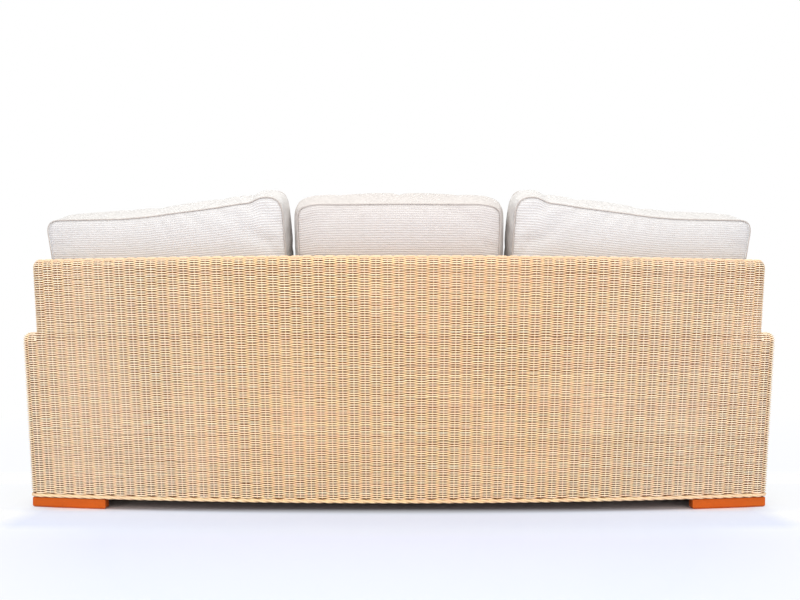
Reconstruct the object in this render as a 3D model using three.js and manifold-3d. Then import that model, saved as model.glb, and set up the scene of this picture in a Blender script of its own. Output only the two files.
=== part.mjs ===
// A three-seat woven garden sofa with a back that is bowed in plan and leans backwards.
// Millimetres, +Z up, the front faces -Y, and z = 0 is the floor that the feet stand on.
import * as THREE from "three";
import { mergeVertices } from "three/addons/utils/BufferGeometryUtils.js";
import Module from "manifold-3d";

const wasm = await Module();
wasm.setup();

// Overall form
const halfWidth = 1080;
const depth = 1020;
const backTop = 715;
const armTop = 510;
const upperInset = 43;
const wallThickness = 80;
const cornerRadius = 24;
const skinThickness = 7;
const seam = 0.3;
const overrun = 40;
const bowAllowance = 1;

// The back's rear face: how far its middle stands behind its ends, and how far the ends lean back
const bowBottom = 128;
const bowTop = 182;
const cornerRun = 116;
const facetsPerSide = 12;
const roundSteps = 3;

// Feet, dust cover and the braid along the lower edge
const footHeight = 28.4;
const footLength = 226;
const footThickness = 40;
const footSetback = 6;
const footInset = 4;
const dustCoverThickness = 1;
const braidRadius = 6;
const braidSides = 8;

// Frame timber and poles
const baseRailWidth = 48;
const baseRailHeight = 45;
const railSetback = 10;
const railEndSetback = 26;
const seatRailWidth = 38;
const seatRailHeight = 45;
const frontSeatRailWidth = 48;
const deckHeight = 240;
const poleRadius = 19;
const topPoleRadius = 20;
const armPoleSetback = 34;
const rearPostSetback = 74;
const uprightShare = 0.5;
const stretcherShare = 0.69;
const stretcherWidth = 44;
const blockLeg = 90;
const poleSides = 10;

// Springs and deck
const springCount = 8;
const springEndClearance = 160;
const springWireRadius = 2;
const springHalfWidth = 22;
const springPitch = 56;
const springSeat = 15;
const springSides = 4;
const wiggleSteps = 4;
const apronReturn = 34;
const deckClothThickness = 3;

// Cushions
const seatCushionThickness = 160;
const backCushionThickness = 168;
const cushionGap = 4;
const centreWidthShare = 0.273;
const centreSpread = 14;
const centreHeight = 861;
const centreArch = 6;
const sideInnerGap = 30;
const sideInnerSlump = 30;
const sideArmGap = 10;
const sideOuterSlump = 30;
const sideInnerHeight = 884;
const sideOuterHeight = 832;
const seatCushionCount = 3;
const seatArmGap = 6;
const seatFrontSetback = 6;
const seatToBackGap = 6;
const pipingRadius = 3;

// Heights and places that follow
const coverBottom = footHeight + seam;
const baseRailBottom = coverBottom + dustCoverThickness + seam;
const baseRailTop = baseRailBottom + baseRailHeight;
const braidHeight = baseRailBottom + braidRadius;
const skinBottom = braidHeight + braidRadius + seam;
const seatRailBottom = deckHeight - seatRailHeight;
const skinLedge = deckHeight + seam;
const upperHalfWidth = halfWidth - upperInset;
const innerRadius = cornerRadius - skinThickness;
const armInner = halfWidth - wallThickness;
const uprightSpacing = armInner * uprightShare;
const stretcherSpacing = armInner * stretcherShare;
const springSpacing = (2 * (armInner - springEndClearance)) / (springCount - 1);
const centreHalfWidth = armInner * centreWidthShare;
const sideInnerBottom = centreHalfWidth + sideInnerGap;
const sideInnerTop = sideInnerBottom + sideInnerSlump;
const sideOuterBottom = armInner - sideArmGap;
const sideOuterTop = sideOuterBottom + sideOuterSlump;
const seatGaps = 2 * seatArmGap + (seatCushionCount - 1) * cushionGap;
const seatCushionWidth = (2 * armInner - seatGaps) / seatCushionCount;
const braidDepth = skinThickness / 2;
const frontFace = -depth / 2 + braidRadius - braidDepth;
const lean = backTop - baseRailBottom;
const leanShare = (lean - cornerRadius) / lean;
const endFace = depth / 2 - bowBottom - (bowTop - bowBottom + cornerRun) * leanShare;
const armPoleX = halfWidth - armPoleSetback;
const rearPostX = halfWidth - rearPostSetback;
const armPoleHeight = armTop - skinThickness - seam - poleRadius;
const uprightDepth = wallThickness / 2;
const seatRailDepth = uprightDepth + poleRadius + bowAllowance;
const deckTop = deckHeight + 2 * springWireRadius + 2 * seam + deckClothThickness;
const cushionFloor = deckTop + seam;

// Materials
const material = (color, roughness, metalness = 0) =>
  new THREE.MeshStandardMaterial({ color, roughness, metalness });
const reed = material(0xdcb998, 0.62);
const pole = material(0xb98c5c, 0.6);
const timber = material(0xa98560, 0.7);
const stainedWood = material(0xd3643a, 0.4);
const springSteel = material(0x8d9093, 0.35, 1);
const blackCloth = material(0x2c2a2b, 0.95);
const deckFelt = material(0x6d6259, 0.95);
const canvas = material(0xe6e0d8, 0.92);

const group = new THREE.Group();

function add(name, geometry, look) {
  geometry.computeVertexNormals();
  const mesh = new THREE.Mesh(geometry, look);
  mesh.name = name;
  group.add(mesh);
  return mesh;
}

// Solids: a closed geometry becomes a manifold, and a cut manifold a geometry again
function solidOf(geometry) {
  const bare = geometry.clone();
  bare.deleteAttribute("normal");
  bare.deleteAttribute("uv");
  const merged = mergeVertices(bare, 1e-3);
  const vertProperties = new Float32Array(merged.attributes.position.array);
  const triVerts = new Uint32Array(merged.index.array);
  return new wasm.Manifold(new wasm.Mesh({ numProp: 3, vertProperties, triVerts }));
}

function geometryOf(solid) {
  const { vertProperties, triVerts } = solid.getMesh();
  const geometry = new THREE.BufferGeometry();
  geometry.setAttribute("position", new THREE.BufferAttribute(vertProperties, 3));
  geometry.setIndex(new THREE.BufferAttribute(triVerts, 1));
  return geometry.toNonIndexed();
}

const cut = (body, ...tools) => tools.reduce((left, tool) => left.subtract(tool), body);
const join = (body, ...more) => more.reduce((whole, piece) => whole.add(piece), body);

// A closed body through rings of equal length, with flat ends
function loft(given, flatten) {
  const turned = THREE.ShapeUtils.isClockWise(flatten(given[0]));
  const rings = turned ? given.map((ring) => [...ring].reverse()) : given;
  const count = rings[0].length;
  const points = rings.flat();
  const faces = [];
  for (let r = 0; r + 1 < rings.length; r++) {
    for (let i = 0; i < count; i++) {
      const a = r * count + i;
      const b = r * count + ((i + 1) % count);
      faces.push(a, b, b + count, a, b + count, a + count);
    }
  }
  const last = (rings.length - 1) * count;
  for (const [a, b, c] of THREE.ShapeUtils.triangulateShape(flatten(rings[0]), [])) {
    faces.push(a, c, b);
  }
  for (const [a, b, c] of THREE.ShapeUtils.triangulateShape(flatten(rings.at(-1)), [])) {
    faces.push(last + a, last + b, last + c);
  }
  return closedFrom(points, faces);
}

const fromSide = (ring) => ring.map((p) => new THREE.Vector2(p.y, p.z));
const fromAbove = (ring) => ring.map((p) => new THREE.Vector2(p.x, p.y));

function closedFrom(points, faces) {
  const geometry = new THREE.BufferGeometry().setFromPoints(points);
  geometry.setIndex(faces);
  if (volumeOf(points, faces) < 0) {
    for (let i = 0; i < faces.length; i += 3) {
      [faces[i + 1], faces[i + 2]] = [faces[i + 2], faces[i + 1]];
    }
    geometry.setIndex(faces);
  }
  return geometry;
}

function volumeOf(points, faces) {
  const normal = new THREE.Vector3();
  let sum = 0;
  for (let i = 0; i < faces.length; i += 3) {
    normal.crossVectors(points[faces[i + 1]], points[faces[i + 2]]);
    sum += points[faces[i]].dot(normal);
  }
  return sum;
}

// The bow is a parabola in facets that all the pieces which follow the back share
const facetWidth = halfWidth / facetsPerSide;

function bowShare(x) {
  const knot = Math.floor(x / facetWidth);
  const along = x / facetWidth - knot;
  const [here, next] = [knot, knot + 1].map((k) => 1 - (k / facetsPerSide) ** 2);
  return here + (next - here) * along;
}

// The rear face of the back at a place across the sofa and a height
function rearFace(x, z) {
  const rise = (z - baseRailBottom) / lean;
  const bow = bowBottom + (bowTop - bowBottom) * rise;
  return endFace + cornerRun * rise + bow * bowShare(x);
}

// Places across the sofa where a piece that follows the back needs a section
function stationsBetween(from, to) {
  const xs = [from];
  for (let k = Math.floor(from / facetWidth) + 1; k * facetWidth < to; k++) {
    xs.push(k * facetWidth);
  }
  return [...xs, to];
}

// The same with fine steps where both ends are rounded
function roundedStations(half, radius) {
  const straight = half - radius;
  const ends = [];
  for (let i = 0; i < roundSteps; i++) {
    ends.push(straight + radius * Math.cos((i / roundSteps) * (Math.PI / 2)));
  }
  const middle = stationsBetween(-straight, straight);
  return [...ends.map((x) => -x), ...middle, ...ends.reverse()];
}

const insetAt = (x, half, radius) => {
  const past = Math.max(0, Math.abs(x) - (half - radius));
  return radius - Math.sqrt(Math.max(0, radius ** 2 - past ** 2));
};

// A slab that follows the back: near and far are depths in front of the rear face
function backSlab({ half, radius, near, far, bottom, top, roll }) {
  const rings = roundedStations(half, radius).map((x) => {
    const inset = insetAt(x, half, radius);
    const high = top - inset;
    const place = (s, z) => new THREE.Vector3(x, rearFace(x, z) - s, z);
    const reach = Math.min(roll, (far - near - inset) / 2);
    const levels = [skinBottom, skinLedge].filter((z) => z > bottom && z < top - roll);
    const ring = [bottom, ...levels].map((z) => place(near + inset, z));
    for (let i = 0; i <= roundSteps; i++) {
      const turn = (i / roundSteps) * (Math.PI / 2);
      const s = near + inset + reach * (1 - Math.cos(turn));
      ring.push(place(s, high - reach * (1 - Math.sin(turn))));
    }
    for (let i = 0; i <= roundSteps; i++) {
      const turn = (i / roundSteps) * (Math.PI / 2);
      ring.push(place(far - reach * (1 - Math.sin(turn)), high - reach * (1 - Math.cos(turn))));
    }
    ring.push(...[...levels.reverse(), bottom].map((z) => place(far, z)));
    return ring;
  });
  return loft(rings, fromSide);
}

// A rail of rectangular section that follows the back between two places across the sofa
function backRail({ from, to, near, far, bottom, top }) {
  const rings = stationsBetween(from, to).map((x) => {
    const place = (s, z) => new THREE.Vector3(x, rearFace(x, z) - s, z);
    return [place(near, bottom), place(near, top), place(far, top), place(far, bottom)];
  });
  return loft(rings, fromSide);
}

// A straight prism across the sofa from its outline of depths and heights
function acrossPrism(x0, x1, outline) {
  const rings = [x0, x1].map((x) => outline.map(([y, z]) => new THREE.Vector3(x, y, z)));
  return solidOf(loft(rings, fromSide));
}

// All that lies behind a rail's front face, to end the pieces that butt against it
function allBehind({ far, bottom, top }) {
  const limit = halfWidth + overrun;
  const rings = stationsBetween(-limit, limit).map((x) => {
    const place = (s, z) => new THREE.Vector3(x, rearFace(x, z) - s, z);
    const front = [top + overrun, top, bottom, bottom - overrun].map((z) => place(far + seam, z));
    return [place(-depth, bottom - overrun), place(-depth, top + overrun), ...front];
  });
  return solidOf(loft(rings, fromSide));
}

function box(x0, x1, y0, y1, z0, z1) {
  const geometry = new THREE.BoxGeometry(x1 - x0, y1 - y0, z1 - z0);
  return geometry.translate((x0 + x1) / 2, (y0 + y1) / 2, (z0 + z1) / 2);
}

// A round bar along a list of points, with its own ring of points at each
function bar(points, radius, sides) {
  const rings = points.map((point, i) => {
    const ahead = points[Math.min(i + 1, points.length - 1)];
    const behind = points[Math.max(i - 1, 0)];
    const along = new THREE.Vector3().subVectors(ahead, behind).normalize();
    const upright = Math.abs(along.z) > 0.9;
    const guide = upright ? new THREE.Vector3(1, 0, 0) : new THREE.Vector3(0, 0, 1);
    const side = new THREE.Vector3().crossVectors(along, guide).normalize();
    const over = new THREE.Vector3().crossVectors(side, along);
    return Array.from({ length: sides }, (_, k) => {
      const turn = ((k + 0.5) / sides) * 2 * Math.PI;
      return point
        .clone()
        .addScaledVector(side, radius * Math.cos(turn))
        .addScaledVector(over, radius * Math.sin(turn));
    });
  });
  const unit = Array.from({ length: sides }, (_, k) => {
    const turn = ((k + 0.5) / sides) * 2 * Math.PI;
    return new THREE.Vector2(Math.cos(turn), Math.sin(turn));
  });
  return loft(rings, () => unit);
}

const slab = (shape, z0, z1) =>
  new THREE.ExtrudeGeometry(shape, { depth: z1 - z0, bevelEnabled: false }).translate(0, 0, z0);

// The woven back: two faces, the roll over the top and the rounded ends, open below
function backOuter() {
  const form = { radius: cornerRadius, near: 0, far: wallThickness, roll: cornerRadius };
  const lower = backSlab({ ...form, half: halfWidth, bottom: skinBottom, top: armTop });
  const upper = backSlab({
    ...form,
    half: upperHalfWidth,
    bottom: armTop - overrun,
    top: backTop,
  });
  return join(solidOf(lower), solidOf(upper));
}

function backWeave() {
  const hollow = {
    radius: innerRadius,
    near: skinThickness,
    far: wallThickness - skinThickness,
    roll: innerRadius,
  };
  const lower = backSlab({
    ...hollow,
    half: halfWidth - skinThickness,
    bottom: -overrun,
    top: armTop - skinThickness,
  });
  const upper = backSlab({
    ...hollow,
    half: upperHalfWidth - skinThickness,
    bottom: armTop - overrun,
    top: backTop - skinThickness,
  });
  const underDeck = backSlab({
    ...hollow,
    half: halfWidth - skinThickness,
    far: wallThickness + overrun,
    bottom: -overrun,
    top: skinLedge,
    roll: 0,
  });
  const window = armHollow().intersect(beforeArmEnd(wallThickness / 4, armTop));
  const armPlace = beforeArmEnd(0, armTop + seam);
  const hollows = [lower, upper, underDeck].map(solidOf);
  const atBothEnds = [window, armPlace].flatMap((tool) => [tool, tool.mirror([1, 0, 0])]);
  return cut(backOuter(), ...hollows, ...atBothEnds);
}

// The arms end on a plane through the front face of the back at their inner sides
const armEnd = (z) => rearFace(armInner, z) - wallThickness;

function beforeArmEnd(past, top) {
  const outline = [
    [-depth, -overrun],
    [-depth, top],
    [armEnd(top) + past, top],
    [armEnd(-overrun) + past, -overrun],
  ];
  return acrossPrism(armInner - seam, halfWidth + overrun, outline);
}

// An arm as seen from above, rounded at its front corners, and with a rounded top edge
function armBody({ x0, x1, front, radius, bottom, top }) {
  const back = depth / 2;
  const shape = new THREE.Shape();
  shape.moveTo(x0, back);
  shape.lineTo(x0, front + radius);
  shape.absarc(x0 + radius, front + radius, radius, Math.PI, 1.5 * Math.PI);
  shape.lineTo(x1 - radius, front);
  shape.absarc(x1 - radius, front + radius, radius, 1.5 * Math.PI, 2 * Math.PI);
  shape.lineTo(x1, back);
  const steps = 4;
  const outline = shape.extractPoints(steps).shape;
  const middle = (x0 + x1) / 2;
  const rings = [];
  const ringAt = (z, inset) =>
    outline.map(({ x, y }) => {
      const nearer = Math.sign(middle - x) * Math.min(inset, Math.abs(middle - x));
      const along = y > front + radius ? y : y + inset * (1 - (y - front) / radius);
      return new THREE.Vector3(x + nearer, along, z);
    });
  rings.push(ringAt(bottom, 0));
  for (let i = 0; i <= steps; i++) {
    const turn = (i / steps) * (Math.PI / 2);
    rings.push(ringAt(top - radius * (1 - Math.sin(turn)), radius * (1 - Math.cos(turn))));
  }
  return loft(rings, fromAbove);
}

function armHollow() {
  return solidOf(
    armBody({
      x0: armInner + skinThickness,
      x1: halfWidth - skinThickness,
      front: frontFace + skinThickness,
      radius: innerRadius,
      bottom: -overrun,
      top: armTop - skinThickness,
    }),
  );
}

function armWeave() {
  const outer = armBody({
    x0: armInner,
    x1: halfWidth,
    front: frontFace,
    radius: cornerRadius,
    bottom: skinBottom,
    top: armTop,
  });
  const flat = box(
    armInner,
    armInner + cornerRadius,
    frontFace,
    frontFace + skinThickness,
    skinBottom,
    skinLedge + skinThickness,
  );
  const underDeck = box(
    armInner - overrun,
    halfWidth - skinThickness,
    frontFace + skinThickness,
    depth,
    -overrun,
    skinLedge,
  );
  const whole = solidOf(outer).intersect(beforeArmEnd(-seam, armTop + overrun));
  return join(cut(whole, armHollow(), solidOf(underDeck)), solidOf(flat));
}

// The front apron: a skin that turns back over the front seat rail
function frontApron() {
  const half = armInner - seam;
  const high = skinLedge + skinThickness;
  const steps = 4;
  const profile = new THREE.Shape();
  profile.moveTo(frontFace, skinBottom);
  profile.lineTo(frontFace + skinThickness, skinBottom);
  profile.lineTo(frontFace + skinThickness, skinLedge);
  profile.lineTo(frontFace + apronReturn, skinLedge);
  profile.lineTo(frontFace + apronReturn, high);
  profile.lineTo(frontFace + skinThickness, high);
  profile.absarc(
    frontFace + skinThickness,
    high - skinThickness,
    skinThickness,
    Math.PI / 2,
    Math.PI,
  );
  const settings = { depth: 2 * half, bevelEnabled: false, curveSegments: steps };
  const geometry = new THREE.ExtrudeGeometry(profile, settings);
  geometry.applyMatrix4(
    new THREE.Matrix4().makeBasis(
      new THREE.Vector3(0, 1, 0),
      new THREE.Vector3(0, 0, 1),
      new THREE.Vector3(1, 0, 0),
    ),
  );
  return geometry.translate(-half, 0, 0);
}

// A braid's line lies under the middle of the skin and turns the rounded corners with it.
// Each runs on straight past its corner, so that it ends square to the next one
const braidTail = braidRadius;

function backBraidLine() {
  const radius = cornerRadius - braidDepth;
  const half = halfWidth - braidDepth;
  const line = roundedStations(half, radius).map((x) => {
    const inset = insetAt(x, half, radius);
    return new THREE.Vector3(x, rearFace(x, braidHeight) - braidDepth - inset, braidHeight);
  });
  const tail = new THREE.Vector3(0, -braidTail, 0);
  return [line[0].clone().add(tail), ...line, line.at(-1).clone().add(tail)];
}

function sideBraidLine(side) {
  const radius = cornerRadius - braidDepth;
  const x = halfWidth - braidDepth;
  const line = frontFace + braidDepth;
  const points = [[x, backBraidLine()[0].y - seam]];
  for (let i = 0; i <= roundSteps; i++) {
    const turn = (i / roundSteps) * (Math.PI / 2);
    points.push([x - radius * (1 - Math.cos(turn)), line + radius * (1 - Math.sin(turn))]);
  }
  points.push([x - radius - braidTail, line]);
  return points.map(([px, py]) => new THREE.Vector3(side * px, py, braidHeight));
}

function frontBraidLine() {
  const end = halfWidth - cornerRadius - braidTail - seam;
  const line = frontFace + braidDepth;
  return [-end, end].map((x) => new THREE.Vector3(x, line, braidHeight));
}

// A low corner plinth in two legs: the rear ones follow the bowed back
function footShape(side, rear) {
  const outerX = halfWidth - footSetback;
  const innerX = outerX - footLength;
  const legX = outerX - footThickness;
  const edge = (x) => (rear ? rearFace(x, footHeight) - footInset : frontFace + footInset);
  const inward = rear ? -1 : 1;
  const points = [];
  for (const x of stationsBetween(innerX, outerX).reverse()) {
    points.push(new THREE.Vector2(side * x, edge(x)));
  }
  for (const x of stationsBetween(innerX, legX)) {
    points.push(new THREE.Vector2(side * x, edge(x) + inward * footThickness));
  }
  const end = edge(outerX) + inward * footLength;
  points.push(new THREE.Vector2(side * legX, end), new THREE.Vector2(side * outerX, end));
  return new THREE.Shape(points);
}

// Cushions: a boxed pad from its panel outline, its depth and its crown.
// Place gives the world point for a share across and up the panel and a depth forward of its rear face.
function cushion({ place, thickness, crown, bulge, tuck, cornerShare, floor }) {
  const across = 8;
  const up = 8;
  const half = (t) => 2 * t - 1;
  // The panel's outline as shares, with rounded corners, counter-clockwise
  const outline = [];
  const side = (n, f) => {
    for (let i = 0; i < n; i++) outline.push(f(i / n));
  };
  side(across, (t) => [t, 0]);
  side(up, (t) => [1, t]);
  side(across, (t) => [1 - t, 1]);
  side(up, (t) => [0, 1 - t]);
  const rounded = outline.map(([u, v]) => {
    const a = half(u);
    const b = half(v);
    const corner = (Math.abs(a) * Math.abs(b)) ** 6;
    const draw = 1 - cornerShare * corner;
    const drawnA = a * draw * (1 - tuck * (1 - b * b));
    const drawnB = b * draw * (1 - tuck * (1 - a * a));
    return [(drawnA + 1) / 2, (drawnB + 1) / 2];
  });
  const swell = (u, v) => {
    const a = half(u);
    const b = half(v);
    return (1 - Math.abs(a) ** 3) * (1 - Math.abs(b) ** 3);
  };
  const panelShares = [0.5, 0.8, 0.93];
  const points = [];
  const ringOf = (share, depthOf, out) => {
    for (const [u, v] of rounded) {
      const a = 0.5 + (u - 0.5) * share;
      const b = 0.5 + (v - 0.5) * share;
      points.push(place(a, b, depthOf(a, b), out * Math.sign(Math.round(4 * half(u))), out * half(v)));
    }
  };
  const count = rounded.length;
  points.push(place(0.5, 0.5, -crown, 0, 0));
  for (const share of panelShares) ringOf(share, (u, v) => -crown * swell(u, v), 0);
  ringOf(1, () => 0, pipingRadius);
  ringOf(1, () => pipingRadius, 0);
  ringOf(1, () => thickness / 2, bulge);
  ringOf(1, () => thickness - pipingRadius, 0);
  ringOf(1, () => thickness, pipingRadius);
  for (const share of [...panelShares].reverse()) {
    ringOf(share, (u, v) => thickness + crown * swell(u, v), 0);
  }
  points.push(place(0.5, 0.5, thickness + crown, 0, 0));
  for (const point of points) point.z = Math.max(point.z, floor);
  const faces = [];
  const rings = 2 * panelShares.length + 5;
  for (let i = 0; i < count; i++) {
    const next = (i + 1) % count;
    faces.push(0, 1 + next, 1 + i);
    for (let r = 0; r + 1 < rings; r++) {
      const a = 1 + r * count + i;
      const b = 1 + r * count + next;
      faces.push(a, b, b + count, a, b + count, a + count);
    }
    const top = 1 + (rings - 1) * count;
    faces.push(top + i, top + next, points.length - 1);
  }
  return closedFrom(points, faces);
}

// A back cushion leans on the back: u runs from its inner or left edge, v up its height
function backCushion({ edges, topAt, spread, side }) {
  const rest = wallThickness + cushionGap;
  const crown = 14;
  return cushion({
    thickness: backCushionThickness,
    crown,
    bulge: 8,
    tuck: 0.02,
    cornerShare: 0.04,
    floor: cushionFloor,
    place: (u, v, into, outX, outZ) => {
      const bottomX = edges[0] + (edges[2] - edges[0]) * u;
      const topX = edges[1] + (edges[3] - edges[1]) * u;
      const rearZ = cushionFloor + (topAt(u) - cushionFloor) * v;
      const forward = into / backCushionThickness;
      const x = bottomX + (topX - bottomX) * v ** 2;
      const slope = (rearFace(x, backTop) - rearFace(x, cushionFloor)) / (backTop - cushionFloor);
      const turn = Math.atan(slope) * Math.min(1, 2 * v);
      const yaw = (bowTop * 2 * x) / halfWidth ** 2;
      const shift = side ? -yaw * into * u : spread * forward * (2 * u - 1);
      return new THREE.Vector3(
        side < 0 ? -(x + shift + outX) : x + shift + outX,
        rearFace(x, rearZ) - rest - crown - into * Math.cos(turn),
        rearZ + into * Math.sin(turn) + outZ,
      );
    },
  });
}

// A seat cushion lies on the deck: u across, v from front to rear
function seatCushion(index) {
  const x0 = (index - 0.5) * (seatCushionWidth + cushionGap) + cushionGap / 2;
  const crown = 12;
  const bulge = 6;
  const front = frontFace + seatFrontSetback + bulge + pipingRadius;
  const reach = backCushionThickness + wallThickness + 2 * cushionGap + seatToBackGap + 2 * crown;
  return cushion({
    thickness: seatCushionThickness,
    crown,
    bulge,
    tuck: 0.01,
    cornerShare: 0.03,
    floor: cushionFloor,
    place: (u, v, into, outX, outY) => {
      const across = seatCushionWidth - 2 * bulge;
      const x = x0 + bulge + across * u;
      const rear = rearFace(x, cushionFloor) - reach;
      const y = front + (rear - front) * v;
      return new THREE.Vector3(x + outX, y + outY, cushionFloor + into);
    },
  });
}

// Springs: one wire in even wiggles from the front rail to the rear rail
function spring(x) {
  const height = deckHeight + seam + springWireRadius;
  const start = frontFace + apronReturn + 2 * seam + springWireRadius;
  const end = rearFace(x, deckHeight) - wallThickness - springWireRadius - 2 * seam;
  const points = [];
  const waves = Math.round((end - start - 2 * springSeat) / springPitch);
  const run = (end - start - 2 * springSeat) / waves;
  points.push(new THREE.Vector3(x, start, height));
  for (let i = 0; i <= waves * wiggleSteps; i++) {
    const turn = (i / wiggleSteps) * 2 * Math.PI;
    const y = start + springSeat + (run * i) / wiggleSteps;
    points.push(new THREE.Vector3(x + springHalfWidth * Math.sin(turn), y, height));
  }
  points.push(new THREE.Vector3(x, end, height));
  return bar(points, springWireRadius, springSides);
}

// Flat cloths follow the back's bow at their rear edge
function clothShape(half, front, rearDepth, z) {
  const points = [new THREE.Vector2(-half, front), new THREE.Vector2(half, front)];
  for (const x of stationsBetween(-half, half).reverse()) {
    points.push(new THREE.Vector2(x, rearFace(x, z) - rearDepth));
  }
  return new THREE.Shape(points);
}

// Weave and braid
add("back_weave", geometryOf(backWeave()), reed);
const arm = armWeave();
add("right_arm_weave", geometryOf(arm), reed);
add("left_arm_weave", geometryOf(arm.mirror([1, 0, 0])), reed);
add("front_apron_weave", frontApron(), reed);
add("back_border", bar(backBraidLine(), braidRadius, braidSides), reed);
add("right_border", bar(sideBraidLine(1), braidRadius, braidSides), reed);
add("left_border", bar(sideBraidLine(-1), braidRadius, braidSides), reed);
add("front_border", bar(frontBraidLine(), braidRadius, braidSides), reed);

// Feet
const corners = [
  ["front_right", 1, false],
  ["front_left", -1, false],
  ["rear_right", 1, true],
  ["rear_left", -1, true],
];
for (const [name, side, rear] of corners) {
  add(name + "_foot", slab(footShape(side, rear), 0, footHeight), stainedWood);
}

// Base frame
const railEnd = halfWidth - railEndSetback;
const baseOuter = halfWidth - railSetback;
const baseInner = baseOuter - baseRailWidth;
const frontRailRear = frontFace + railSetback + baseRailWidth;
const rearBase = {
  near: railSetback,
  far: railSetback + baseRailWidth,
  bottom: baseRailBottom,
  top: baseRailTop,
};
const behindBaseRail = allBehind(rearBase);
add("rear_base_rail", backRail({ from: -railEnd, to: railEnd, ...rearBase }), timber);
add(
  "front_base_rail",
  box(-railEnd, railEnd, frontFace + railSetback, frontRailRear, baseRailBottom, baseRailTop),
  timber,
);
const rearReach = depth / 2;
function betweenRails(x0, x1) {
  const long = box(x0, x1, frontRailRear + seam, rearReach, baseRailBottom, baseRailTop);
  return geometryOf(cut(solidOf(long), behindBaseRail));
}
add("right_base_rail", betweenRails(baseInner, baseOuter), timber);
add("left_base_rail", betweenRails(-baseOuter, -baseInner), timber);
for (const [name, side] of [["right", 1], ["left", -1]]) {
  const x = (side * stretcherSpacing) / 2;
  add(name + "_base_stretcher", betweenRails(x - stretcherWidth / 2, x + stretcherWidth / 2), timber);
}
for (const [name, side, rear] of corners) {
  const x = baseInner - seam;
  const y = rear ? rearFace(x, baseRailTop) : frontRailRear + seam;
  const inward = rear ? -1 : 1;
  const edge = rear ? rearFace(x - blockLeg, baseRailTop) : y;
  const tip = rear ? rearFace(x, baseRailBottom) - rearBase.far - blockLeg : y + inward * blockLeg;
  const block = new THREE.Shape([
    new THREE.Vector2(side * x, y),
    new THREE.Vector2(side * x, tip),
    new THREE.Vector2(side * (x - blockLeg), edge),
  ]);
  const solid = solidOf(slab(block, baseRailBottom, baseRailTop));
  add(name + "_corner_block", geometryOf(rear ? cut(solid, behindBaseRail) : solid), timber);
}

// Posts, arm rails, uprights and the bent top rail
const topPoleEnd = upperHalfWidth - skinThickness - topPoleRadius;
const topPoleHeight = backTop - skinThickness - seam - topPoleRadius;
const topPole = (end) =>
  stationsBetween(-end, end).map((x) => {
    const y = rearFace(x, topPoleHeight) - uprightDepth;
    return new THREE.Vector3(x, y, topPoleHeight);
  });
const poleBottom = baseRailTop + seam;
function raked(x, high) {
  const at = (z) => new THREE.Vector3(x, rearFace(x, z) - uprightDepth, z);
  return bar([at(poleBottom), at(high)], poleRadius, poleSides);
}
const levelled = (solid) => {
  const flat = solidOf(box(-halfWidth, halfWidth, -depth, depth, poleBottom, backTop));
  return solid.intersect(flat);
};
const topCope = solidOf(bar(topPole(topPoleEnd + poleRadius), topPoleRadius + seam, poleSides));
const upright = (x) => {
  return geometryOf(cut(levelled(solidOf(raked(x, topPoleHeight))), topCope));
};
add("back_top_rail", bar(topPole(topPoleEnd), topPoleRadius, poleSides), pole);
const postY = frontFace + railSetback + poleRadius + seam;
const armPoleFront = frontFace + cornerRadius;
for (const [name, side] of [["right", 1], ["left", -1]]) {
  const x = side * armPoleX;
  const armLine = [
    new THREE.Vector3(x, armPoleFront, armPoleHeight),
    new THREE.Vector3(x, rearFace(x, armPoleHeight) - cornerRadius, armPoleHeight),
  ];
  add(name + "_arm_rail", bar(armLine, poleRadius, poleSides), pole);
  const cope = solidOf(bar(armLine, poleRadius + seam, poleSides));
  const postLine = [
    new THREE.Vector3(x, postY, poleBottom),
    new THREE.Vector3(x, postY, armPoleHeight),
  ];
  add(name + "_front_post", geometryOf(cut(solidOf(bar(postLine, poleRadius, poleSides)), cope)), pole);
  add(name + "_rear_post", upright(side * rearPostX), pole);
}
for (const [name, place] of [["left", -1], ["centre", 0], ["right", 1]]) {
  add(name + "_back_upright", upright(place * uprightSpacing), pole);
}
for (const [name, place] of [["left", -1], ["centre", 0], ["right", 1]]) {
  const x = place * uprightSpacing;
  const line = [
    new THREE.Vector3(x, postY, poleBottom),
    new THREE.Vector3(x, postY, seatRailBottom - seam),
  ];
  add(name + "_front_strut", bar(line, poleRadius, poleSides), pole);
}

// Deck frame
const postInner = armPoleX - poleRadius - seam;
const rearSeat = { near: seatRailDepth, far: seatRailDepth + seatRailWidth };
const seatSpan = { bottom: seatRailBottom, top: deckHeight };
add("rear_seat_rail", backRail({ from: -postInner, to: postInner, ...rearSeat, ...seatSpan }), timber);
const seatRailFront = frontFace + skinThickness + seam;
const seatRailRear = seatRailFront + frontSeatRailWidth;
add(
  "front_seat_rail",
  box(-postInner, postInner, seatRailFront, seatRailRear, seatRailBottom, deckHeight),
  timber,
);
const behindSeatRail = allBehind({ ...rearSeat, ...seatSpan });
for (const [name, side] of [["right", 1], ["left", -1]]) {
  const x = side * (postInner - seatRailWidth / 2);
  const long = box(
    x - seatRailWidth / 2,
    x + seatRailWidth / 2,
    seatRailRear + seam,
    rearReach,
    seatRailBottom,
    deckHeight,
  );
  add(name + "_seat_rail", geometryOf(cut(solidOf(long), behindSeatRail)), timber);
}

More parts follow.
